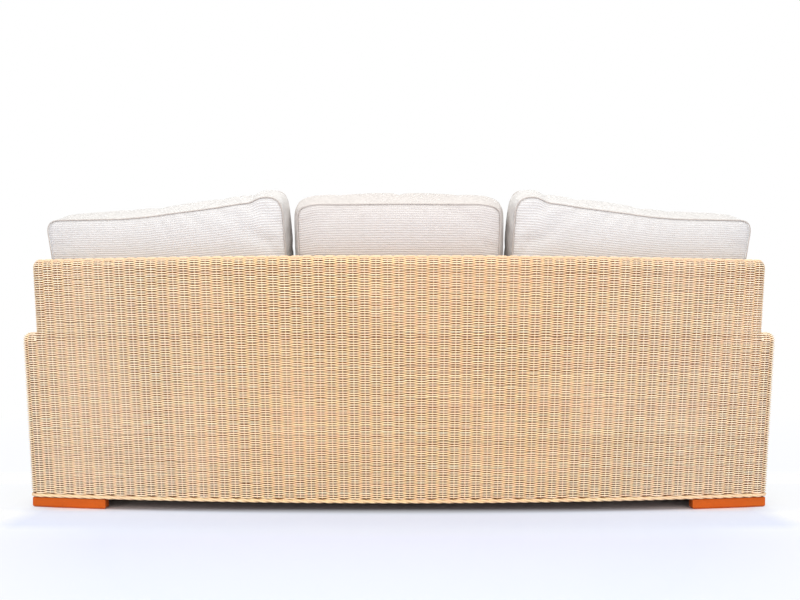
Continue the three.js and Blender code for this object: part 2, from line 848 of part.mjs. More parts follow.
// Springs and cloths
for (let i = 0; i < springCount; i++) {
  const x = (i - (springCount - 1) / 2) * springSpacing;
  add("seat_spring_" + (i + 1), spring(x), springSteel);
}
const deckFront = frontFace + apronReturn + seam;
const deckBottom = deckTop - deckClothThickness;
const deckShape = clothShape(armInner - seam, deckFront, wallThickness + seam, deckBottom);
add("deck_cloth", slab(deckShape, deckBottom, deckTop), deckFelt);
const coverEdge = 2 * braidRadius + braidDepth;
const coverShape = clothShape(
  halfWidth - coverEdge,
  frontFace + coverEdge,
  coverEdge,
  coverBottom,
);
add("dust_cover", slab(coverShape, coverBottom, coverBottom + dustCoverThickness), blackCloth);

// Cushions
["left", "centre", "right"].forEach((name, i) => {
  add(name + "_seat_cushion", seatCushion(i - 1), canvas);
});
add(
  "centre_back_cushion",
  backCushion({
    edges: [-centreHalfWidth, -centreHalfWidth, centreHalfWidth, centreHalfWidth],
    topAt: (u) => centreHeight - centreArch * (2 * u - 1) ** 2,
    spread: centreSpread,
    side: 0,
  }),
  canvas,
);
for (const [name, side] of [["right", 1], ["left", -1]]) {
  add(
    name + "_back_cushion",
    backCushion({
      edges: [sideInnerBottom, sideInnerTop, sideOuterBottom, sideOuterTop],
      topAt: (u) => sideOuterHeight + (sideInnerHeight - sideOuterHeight) * (1 - u) ** 2,
      spread: 0,
      side,
    }),
    canvas,
  );
}

export default group;
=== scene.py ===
import math

import bmesh
import bpy
import numpy as np
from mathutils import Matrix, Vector
from mathutils.bvhtree import BVHTree


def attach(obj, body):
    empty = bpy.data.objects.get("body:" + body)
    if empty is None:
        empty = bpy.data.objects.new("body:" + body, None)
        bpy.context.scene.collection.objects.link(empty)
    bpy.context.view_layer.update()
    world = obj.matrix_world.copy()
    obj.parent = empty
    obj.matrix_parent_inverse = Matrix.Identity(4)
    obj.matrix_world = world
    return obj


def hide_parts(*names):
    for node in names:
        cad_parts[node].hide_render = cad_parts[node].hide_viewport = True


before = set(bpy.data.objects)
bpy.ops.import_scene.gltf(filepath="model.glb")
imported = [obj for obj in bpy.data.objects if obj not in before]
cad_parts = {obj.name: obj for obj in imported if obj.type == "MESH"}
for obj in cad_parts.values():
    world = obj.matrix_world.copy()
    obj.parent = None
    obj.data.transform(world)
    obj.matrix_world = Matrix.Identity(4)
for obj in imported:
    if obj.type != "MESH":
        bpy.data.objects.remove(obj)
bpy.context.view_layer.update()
print("frame loaded:", len(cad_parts), "nodes")


def linked(name, data):
    piece = bpy.data.objects.new(name, data)
    bpy.context.scene.collection.objects.link(piece)
    return piece


def vectorsOf(vertices, key="co"):
    found = np.empty(len(vertices) * 3)
    vertices.foreach_get(key, found)
    return found.reshape(-1, 3)


# Shader helpers
class Wire:
    # one socket of a material; sums on it add Math nodes
    def __init__(self, finish, socket):
        self.finish, self.socket = finish, socket

    def maths(self, operation, first, second=0.0):
        return self.finish.node("ShaderNodeMath", {"operation": operation}, {0: first, 1: second})

    def __add__(self, other):
        return self.maths("ADD", self, other)

    def __sub__(self, other):
        return self.maths("SUBTRACT", self, other)

    def __rsub__(self, other):
        return self.maths("SUBTRACT", other, self)

    def __mul__(self, other):
        return self.maths("MULTIPLY", self, other)

    def __truediv__(self, other):
        return self.maths("DIVIDE", self, other)

    def __rtruediv__(self, other):
        return self.maths("DIVIDE", other, self)

    def __pow__(self, other):
        return self.maths("POWER", self, other)

    __radd__, __rmul__ = __add__, __mul__

    def wave(self):
        return self.maths("SINE", self)

    def size(self):
        return self.maths("ABSOLUTE", self)

    def limited(self):
        return self.finish.node(
            "ShaderNodeMath", {"operation": "ADD", "use_clamp": True}, {0: self, 1: 0.0}
        )


class Shading:
    # a shader tree under construction
    def __init__(self, tree):
        self.tree = tree

    def node(self, kind, settings=None, sockets=None, out=0):
        made = self.tree.nodes.new(kind)
        for key, value in (settings or {}).items():
            if key == "stops":
                ramp = made.color_ramp
                while len(ramp.elements) < len(value):
                    ramp.elements.new(0.5)
                for element, (place, colour) in zip(ramp.elements, value):
                    element.position, element.color = place, colour
            else:
                setattr(made, key, value)
        for key, value in (sockets or {}).items():
            if isinstance(value, Wire):
                self.tree.links.new(value.socket, made.inputs[key])
            else:
                made.inputs[key].default_value = value
        return Wire(self, made.outputs[out])

    def blend(self, factor, first, second):
        sockets = {0: factor, 6: first, 7: second}
        return self.node("ShaderNodeMix", {"data_type": "RGBA"}, sockets, out=2)

    def objectPlace(self, scale=(1, 1, 1)):
        place = self.node("ShaderNodeTexCoord", out=3)
        return self.node("ShaderNodeMapping", {}, {"Vector": place, "Scale": scale})

    def parts(self, vector):
        # the three numbers of a vector
        made = self.node("ShaderNodeSeparateXYZ", {}, {0: vector}).socket.node
        return [Wire(self, socket) for socket in made.outputs]

    def noise(self, vector, scale, detail=2.0, roughness=0.5):
        sockets = {"Vector": vector, "Scale": scale, "Detail": detail, "Roughness": roughness}
        return self.node("ShaderNodeTexNoise", {}, sockets)

    def attribute(self, name):
        made = self.node("ShaderNodeAttribute", {"attribute_name": name})
        return Wire(self, made.socket.node.outputs["Fac"])

    def bump(self, height, strength, distance):
        sockets = {"Height": height, "Strength": strength, "Distance": distance}
        return self.node("ShaderNodeBump", {}, sockets)

    def watched(self):
        # 1 where the camera, a gloss or a glass sees the plain background
        path = self.node("ShaderNodeLightPath").socket.node
        rays = ("Is Camera Ray", "Is Glossy Ray", "Is Transmission Ray")
        seen = [Wire(self, path.outputs[ray]) for ray in rays]
        return (seen[0] + seen[1] + seen[2]).limited()

    def mixedOut(self, factor, first, second, output):
        mixed = self.node("ShaderNodeMixShader", {}, {0: factor, 1: first, 2: second})
        self.tree.links.new(mixed.socket, self.tree.nodes[output].inputs["Surface"])


class Finish(Shading):
    # a material under construction
    def __init__(self, name, **constants):
        self.material = bpy.data.materials.new(name)
        self.material.use_nodes = True
        super().__init__(self.material.node_tree)
        self.shader = self.tree.nodes["Principled BSDF"]
        for socket, value in constants.items():
            self.shader.inputs[socket.replace("_", " ")].default_value = value

    def feed(self, **wires):
        for socket, wire in wires.items():
            self.tree.links.new(wire.socket, self.shader.inputs[socket.replace("_", " ")])
        return self.material


def rise(value, start, slope):
    # 0 up to start, then 1 at this slope; a negative slope falls to 0 at start
    return ((value - start) * slope).limited()


def colour(red, green, blue):  # a picture's 0-255 values as a linear colour
    def linear(value):
        share = value / 255
        return share / 12.92 if share <= 0.04045 else ((share + 0.055) / 1.055) ** 2.4

    return (linear(red), linear(green), linear(blue), 1.0)


# Finishes
reedTones = {
    "dark": (238, 192, 128),
    "warm": (255, 223, 168),
    "pale": (255, 247, 214),
    "pink": (254, 212, 168),
    "shade": (148, 86, 18),
    "crest": (255, 250, 234),
    "brow": (232, 186, 146),
}


def reedFinish(name, shading, roughness, dim=0.0, paintedCrestHighlight=0.3):
    # shading paints shade on what lies deep in the weave, dim darkens the whole reed towards the shade
    # tone, and the crest share paints a highlight on what stands out
    tones = reedTones
    finish = Finish(name, Roughness=roughness, Specular_IOR_Level=0.25)
    tone = finish.attribute("tone")
    place = finish.objectPlace()
    drift = finish.noise(place, 5.0, 3.0)
    fleck = finish.noise(place, 70.0, 3.0, 0.6)
    stops = [
        (0.0, colour(*tones["dark"])),
        (0.35, colour(*tones["pink"])),
        (0.65, colour(*tones["warm"])),
        (1.0, colour(*tones["pale"])),
    ]
    mixed = (tone * 0.5 + drift * 0.42 + (fleck - 0.5) * 0.7 + 0.06).limited()
    base = finish.node("ShaderNodeValToRGB", {"stops": stops}, {0: mixed})
    across, _, height = finish.parts(place)
    paintedSideLight = rise(across.size(), 0.35, 2.5)  # paler towards the arms: painted light on the sides
    brow = rise(height, 0.702, 110.0)  # darker and pinker along the top roll
    # painted highlight: reeds that pass over a stake are paled towards the crest tone
    crest = (finish.attribute("lift") * 1.4 - 0.4).limited()
    base = finish.blend(crest * paintedCrestHighlight + paintedSideLight * 0.16, base, colour(*tones["crest"]))
    base = finish.blend(brow * 0.55, base, colour(*tones["brow"]))
    # painted shade: where a reed dives behind a stake it is darkened towards the shade tone
    depth = (finish.attribute("lift") * -0.7 + 0.2).limited()
    paintedShadeBase = finish.blend(depth * (drift * 1.6 + 0.2) * shading + dim, base, colour(*tones["shade"]))
    grain = finish.noise(finish.objectPlace((40, 40, 420)), 6.0, 2.0)
    gloss = (fleck * 0.25 + roughness - 0.1).limited()
    return finish.feed(Base_Color=paintedShadeBase, Roughness=gloss, Normal=finish.bump(grain, 0.25, 0.0006))


# painted shade: a dark sheet standing in for the shadowed inside of the weave
def paintedShadeFinish():
    finish = Finish("paintedShadeSheet", Roughness=0.9)
    place = finish.objectPlace()
    patch = finish.noise(place, 60.0, 3.0)
    base = finish.blend(patch, colour(82, 42, 14), colour(130, 78, 34))
    return finish.feed(Base_Color=base, Normal=finish.bump(patch, 0.4, 0.001))


def woodFinish(name, light, dark, along, roughness, coat=0.0, shine=0.5):
    finish = Finish(
        name, Coat_Weight=coat, Coat_Roughness=0.25, Roughness=roughness, Specular_IOR_Level=shine
    )
    stretched = finish.objectPlace(tuple(4.0 if axis == along else 46.0 for axis in range(3)))
    warp = finish.noise(stretched, 1.0, 4.0, 0.55)
    lines = finish.noise(stretched, 5.0, 6.0, 0.7)
    pores = finish.noise(stretched, 18.0, 2.0)
    figure = (warp * 0.6 + lines * 0.55 - 0.08).limited()
    base = finish.blend(figure, colour(*light), colour(*dark))
    pored = finish.blend((pores - 0.55).limited() * 1.2, base, colour(*[v * 0.55 for v in dark]))
    gloss = (roughness - 0.06 + lines * 0.16).limited()
    return finish.feed(Base_Color=pored, Roughness=gloss, Normal=finish.bump(lines, 0.18, 0.0006))


def poleFinish():
    finish = Finish("rattanPole", Coat_Weight=0.15, Roughness=0.5)
    place = finish.objectPlace((1, 1, 1))
    sockets = {"Vector": place, "Scale": 1.6, "Distortion": 1.2}
    ring = finish.node("ShaderNodeTexWave", {"bands_direction": "Z"}, sockets)
    ringBand = Wire(finish, ring.socket.node.outputs["Fac"]) ** 14.0
    streak = finish.noise(finish.objectPlace((60, 60, 5)), 2.0, 4.0)
    base = finish.blend(streak, colour(206, 164, 112), colour(176, 132, 84))
    ringed = finish.blend(ringBand, base, colour(122, 84, 52))
    return finish.feed(Base_Color=ringed, Normal=finish.bump(ringBand, 0.5, 0.001))


def steelFinish():
    finish = Finish("springSteel", Metallic=1.0)
    wear = finish.noise(finish.objectPlace(), 180.0, 3.0)
    base = finish.blend(wear, colour(152, 155, 158), colour(116, 118, 120))
    return finish.feed(Base_Color=base, Roughness=wear * 0.3 + 0.22)


def wovenCloth(name, light, dark, thread, roughness=0.95):
    finish = Finish(name, Sheen_Weight=0.15, Sheen_Roughness=0.5, Roughness=roughness)
    place = finish.objectPlace()
    turns = 2 * math.pi / thread
    across, along = ((part * turns).wave() for part in finish.parts(place)[:2])
    weave = across * along * 0.5 + 0.5
    fibre = finish.noise(place, 400.0, 2.0)
    base = finish.blend((weave * 0.7 + fibre * 0.3).limited(), colour(*dark), colour(*light))
    return finish.feed(Base_Color=base, Normal=finish.bump(weave, 0.4, 0.0008))


clothLook = {
    "pale": (217, 213, 209),
    "cream": (196, 188, 181),
    "slub": (179, 168, 159),
    "pipingDark": (170, 158, 149),
    "pipingLight": (196, 186, 177),
    # painted shade: the centre cushion's copy of the cloth is darker and warmer
    "centre": (0.95, 0.915, 0.895),
    "rib": 0.0064,
    "thread": 0.0056,
    "wobble": 0.0016,
}


def canvasFinish(name, shadeTint=(1.0, 1.0, 1.0)):
    # a basket weave: ribs along the panel, floats that swap at each thread, and slubs
    look = clothLook
    tones = {}
    for key in ("pale", "cream", "slub"):
        tones[key] = tuple(v * w for v, w in zip(colour(*look[key]), (*shadeTint, 1.0)))
    finish = Finish(name, Sheen_Weight=0.15, Sheen_Roughness=0.6, Specular_IOR_Level=0.2)
    sheet = finish.node("ShaderNodeUVMap", {"uv_map": "cloth"})
    wobble = finish.noise(sheet, 24.0, 2.0)
    u, v = (part + (wobble - 0.5) * look["wobble"] for part in finish.parts(sheet)[:2])
    rows = (v * (2 * math.pi / look["rib"])).wave()
    columns = (u * (2 * math.pi / look["thread"])).wave()
    checks = rows * columns
    stretched = finish.node("ShaderNodeMapping", {}, {"Vector": sheet, "Scale": (60, 330, 1)})
    slub = finish.noise(stretched, 1.0, 3.0, 0.6)
    broad = finish.noise(sheet, 3.0, 2.0)
    light = (rows * 0.29 + checks * 0.16 + broad * 0.3 + 0.35).limited()
    base = finish.blend(light, tones["cream"], tones["pale"])
    marked = finish.blend(((slub - 0.5) * 3.2).limited() * 0.6, base, tones["slub"])
    height = rows * 0.45 + checks * 0.2 + slub * 0.4
    gloss = (slub * 0.2 + 0.78).limited()
    return finish.feed(Base_Color=marked, Roughness=gloss, Normal=finish.bump(height, 0.8, 0.0012))


def pipingFinish():
    finish = Finish("cushionPiping", Sheen_Weight=0.15, Roughness=0.85)
    place = finish.objectPlace()
    twist = finish.noise(place, 260.0, 2.0)
    broad = finish.noise(place, 12.0, 2.0)
    dark, light = (colour(*clothLook[key]) for key in ("pipingDark", "pipingLight"))
    base = finish.blend((twist * 0.6 + broad * 0.4).limited(), dark, light)
    return finish.feed(Base_Color=base, Normal=finish.bump(twist, 0.5, 0.0007))


reedLook = reedFinish("splitReed", 1.05, 0.5)
# the stakes are darkened towards the shade tone all along: painted shade for where they sit behind the
# rows
stakeLook = reedFinish("weaveStake", 0.0, 0.6, 0.42)
braidLook = reedFinish("braidReed", 0.7, 0.6, 0.25, 0.0)
paintedShadeLook = paintedShadeFinish()
footLook = woodFinish("orangeStain", (202, 92, 8), (172, 70, 5), 0, 0.5, 0.0, 0.2)
railLook = woodFinish("railTimber", (188, 150, 108), (158, 118, 78), 0, 0.62)
poleLook = poleFinish()
steelLook = steelFinish()
coverLook = wovenCloth("dustCoverCloth", (92, 80, 72), (58, 50, 46), 0.0022)
deckLook = wovenCloth("deckFelt", (120, 108, 96), (92, 82, 72), 0.003)
clothFinish = canvasFinish("cushionWeave")
# a darker, warmer copy of the cloth for the centre cushion: painted shade
centreFinish = canvasFinish("centreCushionWeave", clothLook["centre"])
pipingLook = pipingFinish()
print("finishes made")

# The sofa's form
sofa = {
    "halfWidth": 1.08,
    "armInner": 1.0,
    "upperHalf": 1.037,
    "wall": 0.08,
    "corner": 0.024,
    "armTop": 0.51,
    "backTop": 0.715,
    "front": -0.5075,
    "base": 0.03,
    "lean": 0.685,
    "bowBottom": 0.128,
    "bowTop": 0.182,
    "cornerRun": 0.116,
    "rearEnd": 0.21796,
    "weaveBottom": 0.0423,
    "deck": 0.2476,
    "cushionFloor": 0.2479,
    "braidHeight": 0.036,
    "braidDepth": 0.0035,
    "bowSteps": 60,
    "endCut": 0.006,
    "stepOverlap": 0.006,
    "armOverlap": 0.004,
    "hair": 0.0005,
}


def rearFace(x, z):
    climb = (z - sofa["base"]) / sofa["lean"]
    bow = sofa["bowBottom"] + (sofa["bowTop"] - sofa["bowBottom"]) * climb
    return sofa["rearEnd"] + sofa["cornerRun"] * climb + bow * (1 - (x / sofa["halfWidth"]) ** 2)


def arc(cx, cy, radius, start, turn, steps=8):
    angles = np.radians(start + turn * np.linspace(0, 1, steps + 1))
    return np.column_stack((cx + radius * np.cos(angles), cy + radius * np.sin(angles)))


def bowLine(x0, x1, z, back, forward=0.0):
    xs = np.linspace(x0, x1, sofa["bowSteps"])
    return np.column_stack((xs, rearFace(xs, z) - back + forward))


def halfOutline(kind, z, inset):
    # the weave's plan outline at one height, from the middle of the rear face round the right-hand side
    s, r = sofa, sofa["corner"]
    i, bend, cut = inset, max(s["corner"] - inset, s["hair"]), s["endCut"]
    reach = max(r, i)
    half = s["upperHalf"] if kind in ("crest", "rearStrip") else s["halfWidth"]
    front, inner = s["front"], s["armInner"]
    parts = []
    x0 = s["upperHalf"] - s["stepOverlap"] if kind == "armTop" else 0.0
    x1 = max(half - reach, x0 + s["hair"])
    if kind == "innerStrip":
        return [("inner", bowLine(inner, 0, z, s["wall"]))]
    if kind == "rearStrip":
        return [("rear", bowLine(0, half, z, 0.0))]
    parts.append(("rear", bowLine(x0, x1, z, i)))
    turn = np.linspace(0, math.pi / 2, 9)
    cx = x1 + bend * np.sin(turn)
    cy = rearFace(np.minimum(cx, half), z) - i - bend * (1 - np.cos(turn))
    parts.append(("rearCorner", np.column_stack((cx, cy))))
    side = half - i
    if kind == "crest":
        innerY = rearFace(half, z) - s["wall"] + i
        parts.append(("end", np.array([(side, cy[-1]), (side, innerY + cut)])))
        parts.append(("endCorner", np.array([(side, innerY + cut), (side - cut, innerY)])))
        parts.append(("inner", bowLine(side - cut, 0, z, s["wall"], i)))
        return parts
    joint = rearFace(inner, z) - s["wall"]
    parts.append(("strip", np.array([(side, cy[-1]), (side, joint)])))
    parts.append(("side", np.array([(side, joint), (side, front + reach)])))
    parts.append(("frontCorner", arc(side - bend, front + reach, bend, 0, -90)))
    face = [(side - bend, front + i), (inner + i + bend, front + i)]
    if kind == "body":
        parts.append(("face", np.array([face[0], (inner, front)])))
        parts.append(("apron", np.array([(inner, front), (0, front)])))
        return parts
    parts.append(("face", np.array(face)))
    parts.append(("innerCorner", arc(inner + i + bend, front + reach, bend, -90, -90)))
    if kind == "armTop":
        joint = rearFace(inner, z) - s["wall"] + s["armOverlap"]
    parts.append(("innerSide", np.array([(inner + i, front + reach), (inner + i, joint)])))
    if kind == "cradle":
        parts.append(("inner", bowLine(inner, 0, z, s["wall"])))
    return parts


weave = {
    "stakePitch": 0.0308,
    "rowPitch": 0.00326,
    "stakesRear": 34,
    "stakesTop": 33,
    "stakesInner": 32,
    "stakesArm": 22,
    "gauge": 0.0015,
    "swing": 0.00265,
    "stand": -0.0022,
    "flat": 0.0078,
    "knotGap": 0.0008,
    "stakeGauge": 0.0019,
    "stakeStand": -0.0031,
    "stakeStep": 8,
    "stakeTones": (0.3, 0.8),
    "wander": 0.00028,
    "unevenness": 0.05,
    "thickWander": 0.03,
    "toneSpread": 0.2,
    "toneWander": 0.12,
    "seed": 7,
}
rng = np.random.default_rng(weave["seed"])


def anchorsOf(kind):
    # where the stakes stand: (part of the outline, "across" or "share", place)
    w = weave
    top = w["stakesTop"] if kind in ("crest", "rearStrip") else w["stakesRear"]
    arm = [(m + 0.5) / w["stakesArm"] for m in range(w["stakesArm"])]
    found = []
    if kind not in ("innerStrip", "armTop"):
        found += [("rear", "across", k * w["stakePitch"]) for k in range(top + 1)]
    if kind == "armTop":
        found += [("rear", "across", w["stakesRear"] * w["stakePitch"])]
    if kind == "crest":
        found += [("end", "share", 0.25), ("end", "share", 0.95)]
    if kind in ("body", "cradle", "armTop"):
        found += [("rearCorner", "share", 0.5), ("strip", "share", 0.5)]
        found += [("side", "share", place) for place in arm]
        found += [("frontCorner", "share", 0.5), ("face", "share", 0.5)]
    if kind in ("cradle", "armTop"):
        found += [("innerCorner", "share", 0.5)]
        found += [("innerSide", "share", 1 - place) for place in reversed(arm)]
    if kind in ("cradle", "innerStrip", "crest"):
        last = w["stakesTop"] if kind == "crest" else w["stakesInner"]
        found += [("inner", "across", k * w["stakePitch"]) for k in range(last, -1, -1)]
    if kind == "body":
        found += [("apron", "share", 0.002)]
        found += [("apron", "across", k * w["stakePitch"]) for k in range(w["stakesInner"], -1, -1)]
    return found


def measured(parts):
    # one polyline with arc lengths, and the span of each part
    points, spans, total = [], {}, 0.0
    for name, line in parts:
        if points:
            total += float(np.linalg.norm(line[0] - points[-1][-1]))
        steps = np.concatenate(([0.0], np.cumsum(np.linalg.norm(np.diff(line, axis=0), axis=1))))
        spans[name] = (total, total + steps[-1], line, total + steps)
        total += steps[-1]
        points.append(line)
    arcs = np.concatenate([spans[name][3] for name, _ in parts])
    line = np.vstack(points)
    keep = np.concatenate(([True], np.diff(arcs) > 1e-7))
    return line[keep], arcs[keep], spans


def anchorArcs(kind, spans):
    placed = []
    for name, how, where in anchorsOf(kind):
        start, end, line, arcs = spans[name]
        if how == "across":
            order = np.argsort(line[:, 0])
            placed.append((name, float(np.interp(where, line[order, 0], arcs[order]))))
        else:
            placed.append((name, start + (end - start) * where))
    return placed


def normalsOf(line, arcs):
    ahead = np.gradient(line, arcs, axis=0)
    ahead /= np.linalg.norm(ahead, axis=1)[:, None] + 1e-12
    return np.column_stack((-ahead[:, 1], ahead[:, 0]))


owners = {
    "rear": "back",
    "rearCorner": "back",
    "strip": "back",
    "end": "back",
    "endCorner": "back",
    "inner": "back",
    "side": "arm",
    "frontCorner": "arm",
    "face": "arm",
    "innerCorner": "arm",
    "innerSide": "arm",
    "apron": "apron",
}


def levels():
    # every row of the weave: (outline, height, inset, tilt, row number)
    s, w = sofa, weave
    r, pitch = s["corner"], w["rowPitch"]
    found = []

    def walls(kind, low, high, first):
        count = round((high - low) / pitch)
        for k in range(count):
            found.append((kind, low + (k + 0.5) * (high - low) / count, 0.0, 0.0, first + k))
        return first + count

    def roll(kind, top, first):
        count = round(r * math.pi / 2 / pitch)
        for k in range(count):
            tilt = (k + 0.5) / count * math.pi / 2
            height, depth = top - r + r * math.sin(tilt), r * (1 - math.cos(tilt))
            found.append((kind, height, depth, tilt, first + k))
        across = s["wall"] / 2 - r
        flatRows = round(across / pitch)
        for k in range(flatRows):
            inset = r + (k + 0.5) * across / flatRows
            found.append((kind, top, inset, math.pi / 2, first + count + k))

    row = walls("body", s["weaveBottom"], s["deck"], 0)
    row = walls("cradle", s["deck"], s["armTop"] - r, row)
    roll("armTop", s["armTop"], row)
    walls("innerStrip", s["armTop"] - r, s["armTop"], row)
    row = walls("rearStrip", s["armTop"] - r, s["armTop"], row)
    row = walls("crest", s["armTop"], s["backTop"] - r, row)
    roll("crest", s["backTop"], row)
    return found


allLevels = levels()


def outlineAt(kind, z, inset):
    line, arcs, spans = measured(halfOutline(kind, z, inset))
    return line, arcs, spans, normalsOf(line, arcs)


def sampled(places, arcs, *tables):
    # what each table holds at places along an outline
    found = [[np.interp(places, arcs, table[:, i]) for i in range(2)] for table in tables]
    return [np.stack(pair, axis=-1) for pair in found]


def raised(plan, share, height, side):
    # plan values in space, mirrored for the left half
    return np.column_stack((plan[:, 0] * share * side, plan[:, 1] * share, np.full(len(plan), height)))


def guideRun(points, gauge, tone, lift=0.0, swing=0.0):
    # one guide line; a single number holds at each of its points
    count = len(points)
    levels = {"gauge": gauge, "tone": tone, "lift": lift}
    run = {key: np.broadcast_to(value, count) for key, value in levels.items()}
    return {"points": points, "swing": np.broadcast_to(swing, (count, 3)), **run}


def handed(side, word):
    return ("right" if side > 0 else "left") + word


def smoothNoise(count, step, size):
    # slow wandering along a row
    knots = rng.normal(0, size, max(4, int(count / step) + 3))
    return np.interp(np.linspace(0, len(knots) - 1, count), np.arange(len(knots)), knots)


def rowRuns(kind, z, inset, row):
    # one row's points over both halves, and the runs that each node's piece takes from it
    w = weave
    line, arcs, spans, normals = outlineAt(kind, z, inset)
    knots, values = [], []
    for index, (name, at) in enumerate(anchorArcs(kind, spans)):
        over = 1.0 if (index + row) % 2 == 0 else -1.0
        reach = min(w["flat"], 0.3 * arcs[-1])
        for place in (at - reach, at + reach):
            if arcs[0] <= place <= arcs[-1]:
                knots.append(place)
                values.append(over)
    knots, values = np.array(knots), np.array(values)
    order = np.argsort(knots)
    knots, values = knots[order], values[order]
    extra = [arcs[0], arcs[-1]] if arcs[0] + 0.001 < knots[0] or kind != "body" else [arcs[-1]]
    for name in ("rearCorner", "frontCorner", "innerCorner", "endCorner"):
        if name in spans:
            start, end = spans[name][:2]
            extra += [start, start + (end - start) / 3, start + (end - start) * 2 / 3, end]
    borders = [spans[name][0] for name in ("side", "apron") if name in spans]
    if kind in ("cradle", "armTop"):
        borders.append(spans["innerSide"][1])
    extra = [e for e in extra + borders if np.min(np.abs(knots - e)) > w["knotGap"] or e in borders]
    places = np.unique(np.concatenate((knots, extra)))
    lift = np.interp(places, knots, values)
    xy, out = sampled(places, arcs, line, normals)
    marks = [0.0] + sorted(borders) + [arcs[-1]]
    return places, lift, xy, out, marks, spans


def ownerAt(place, spans):
    for name, (start, end, _, _) in spans.items():
        if start - 1e-9 <= place <= end + 1e-9:
            return owners[name]
    return "back"


def pieceOf(owner, kind, side, row, place, spans):
    if owner == "arm":
        return handed(side, "ArmReeds")
    if owner == "apron":
        return "apronReeds"
    inner = "inner" in spans and place >= spans["inner"][0] - 1e-6
    if kind == "crest" and row >= crestRoll:
        return "backCapReeds"
    if inner or kind == "innerStrip":
        return "backInnerReeds"
    return "backLowerReeds" if kind == "body" else "backUpperReeds"


crestRoll = min(row for kind, z, inset, tilt, row in allLevels if kind == "crest" and tilt > 0)
runs = {}  # piece -> list of runs, each a dict of arrays

for kind, z, inset, tilt, row in allLevels:
    places, lift, xy, out, marks, spans = rowRuns(kind, z, inset, row)
    for side in (1, -1):
        tone = float(np.clip(rng.normal(0.5, weave["toneSpread"]), 0, 1))
        wander = smoothNoise(len(places), 5, weave["wander"])
        gauge = weave["gauge"] * (1 + rng.normal(0, weave["unevenness"]))
        gauge = gauge * (1 + smoothNoise(len(places), 8, weave["thickWander"]))
        tones = tone + smoothNoise(len(places), 10, weave["toneWander"])
        up, flatOut = math.sin(tilt), math.cos(tilt)
        normal, slope = raised(out, flatOut, up, side), raised(out, -up, flatOut, side)
        point = raised(xy, 1, z, side) + normal * weave["stand"] + slope * wander[:, None]
        for low, high in zip(marks[:-1], marks[1:]):
            if high - low < 1e-5:
                continue
            pick = (places >= low - 1e-9) & (places <= high + 1e-9)
            if pick.sum() < 2:
                continue
            middle = (low + high) / 2
            owner = ownerAt(middle, spans)
            sections = [(low, high)]
            if owner == "back" and kind == "crest" and row < crestRoll:
                split = spans["inner"][0]
                sections = [(low, split), (split, high)]
            for a, b in sections:
                inside = (places >= a - 1e-9) & (places <= b + 1e-9)
                if inside.sum() < 2:
                    continue
                name = pieceOf(owner, kind, side, row, (a + b) / 2, spans)
                swing = normal[inside] * lift[inside][:, None]
                run = guideRun(point[inside], gauge[inside], tones[inside], lift[inside], swing)
                runs.setdefault(name, []).append(run)
print("weave rows laid:", {name: sum(len(r["gauge"]) for r in found) for name, found in runs.items()})


# The reed tree: sweeps a round reed along each guide line
def reedTree(name, sides, upright):
    tree = bpy.data.node_groups.new(name, "GeometryNodeTree")
    tree.interface.new_socket("Guides", in_out="INPUT", socket_type="NodeSocketGeometry")
    for label, kind, value in (
        ("Swing", "NodeSocketFloat", 0.0),
        ("Sides", "NodeSocketInt", sides),
        ("Finish", "NodeSocketMaterial", None),
    ):
        socket = tree.interface.new_socket(label, in_out="INPUT", socket_type=kind)
        if value is not None:
            socket.default_value = value
    tree.interface.new_socket("Reeds", in_out="OUTPUT", socket_type="NodeSocketGeometry")
    nodes, links = tree.nodes, tree.links

    def made(kind, settings=None, **wired):
        node = nodes.new(kind)
        for key, value in (settings or {}).items():
            setattr(node, key, value)
        for key, value in wired.items():
            target = node.inputs[key.replace("_", " ")]
            if isinstance(value, bpy.types.NodeSocket):
                links.new(value, target)
            else:
                target.default_value = value
        return node

    given = nodes.new("NodeGroupInput")
    swing = made("GeometryNodeInputNamedAttribute", {"data_type": "FLOAT_VECTOR"}, Name="swing")
    gauge = made("GeometryNodeInputNamedAttribute", {"data_type": "FLOAT"}, Name="gauge")
    scaled = made("ShaderNodeVectorMath", {"operation": "SCALE"})
    links.new(swing.outputs["Attribute"], scaled.inputs[0])
    links.new(given.outputs["Swing"], scaled.inputs["Scale"])
    moved = made("GeometryNodeSetPosition", Geometry=given.outputs["Guides"], Offset=scaled.outputs[0])
    curve = made("GeometryNodeMeshToCurve", Mesh=moved.outputs[0])
    upwards = {"mode": "Z_UP"} if upright else {}
    turned = made("GeometryNodeSetCurveNormal", upwards, Curve=curve.outputs[0])
    radius = gauge.outputs["Attribute"]
    sized = made("GeometryNodeSetCurveRadius", Curve=turned.outputs[0], Radius=radius)
    ring = made("GeometryNodeCurvePrimitiveCircle", Resolution=given.outputs["Sides"], Radius=1.0)
    tube = made("GeometryNodeCurveToMesh", Curve=sized.outputs[0], Profile_Curve=ring.outputs[0])
    tube.inputs["Fill Caps"].default_value = True
    if "Scale" in tube.inputs:
        links.new(radius, tube.inputs["Scale"])
    smooth = made("GeometryNodeSetShadeSmooth", Geometry=tube.outputs[0])
    whole = made("GeometryNodeRealizeInstances", Geometry=smooth.outputs[0])
    look = given.outputs["Finish"]
    dressed = made("GeometryNodeSetMaterial", Geometry=whole.outputs[0], Material=look)
    result = nodes.new("NodeGroupOutput")
    links.new(dressed.outputs[0], result.inputs[0])
    return tree


rowTree = reedTree("reedRows", 4, True)
stakeTree = reedTree("weaveStakes", 6, False)


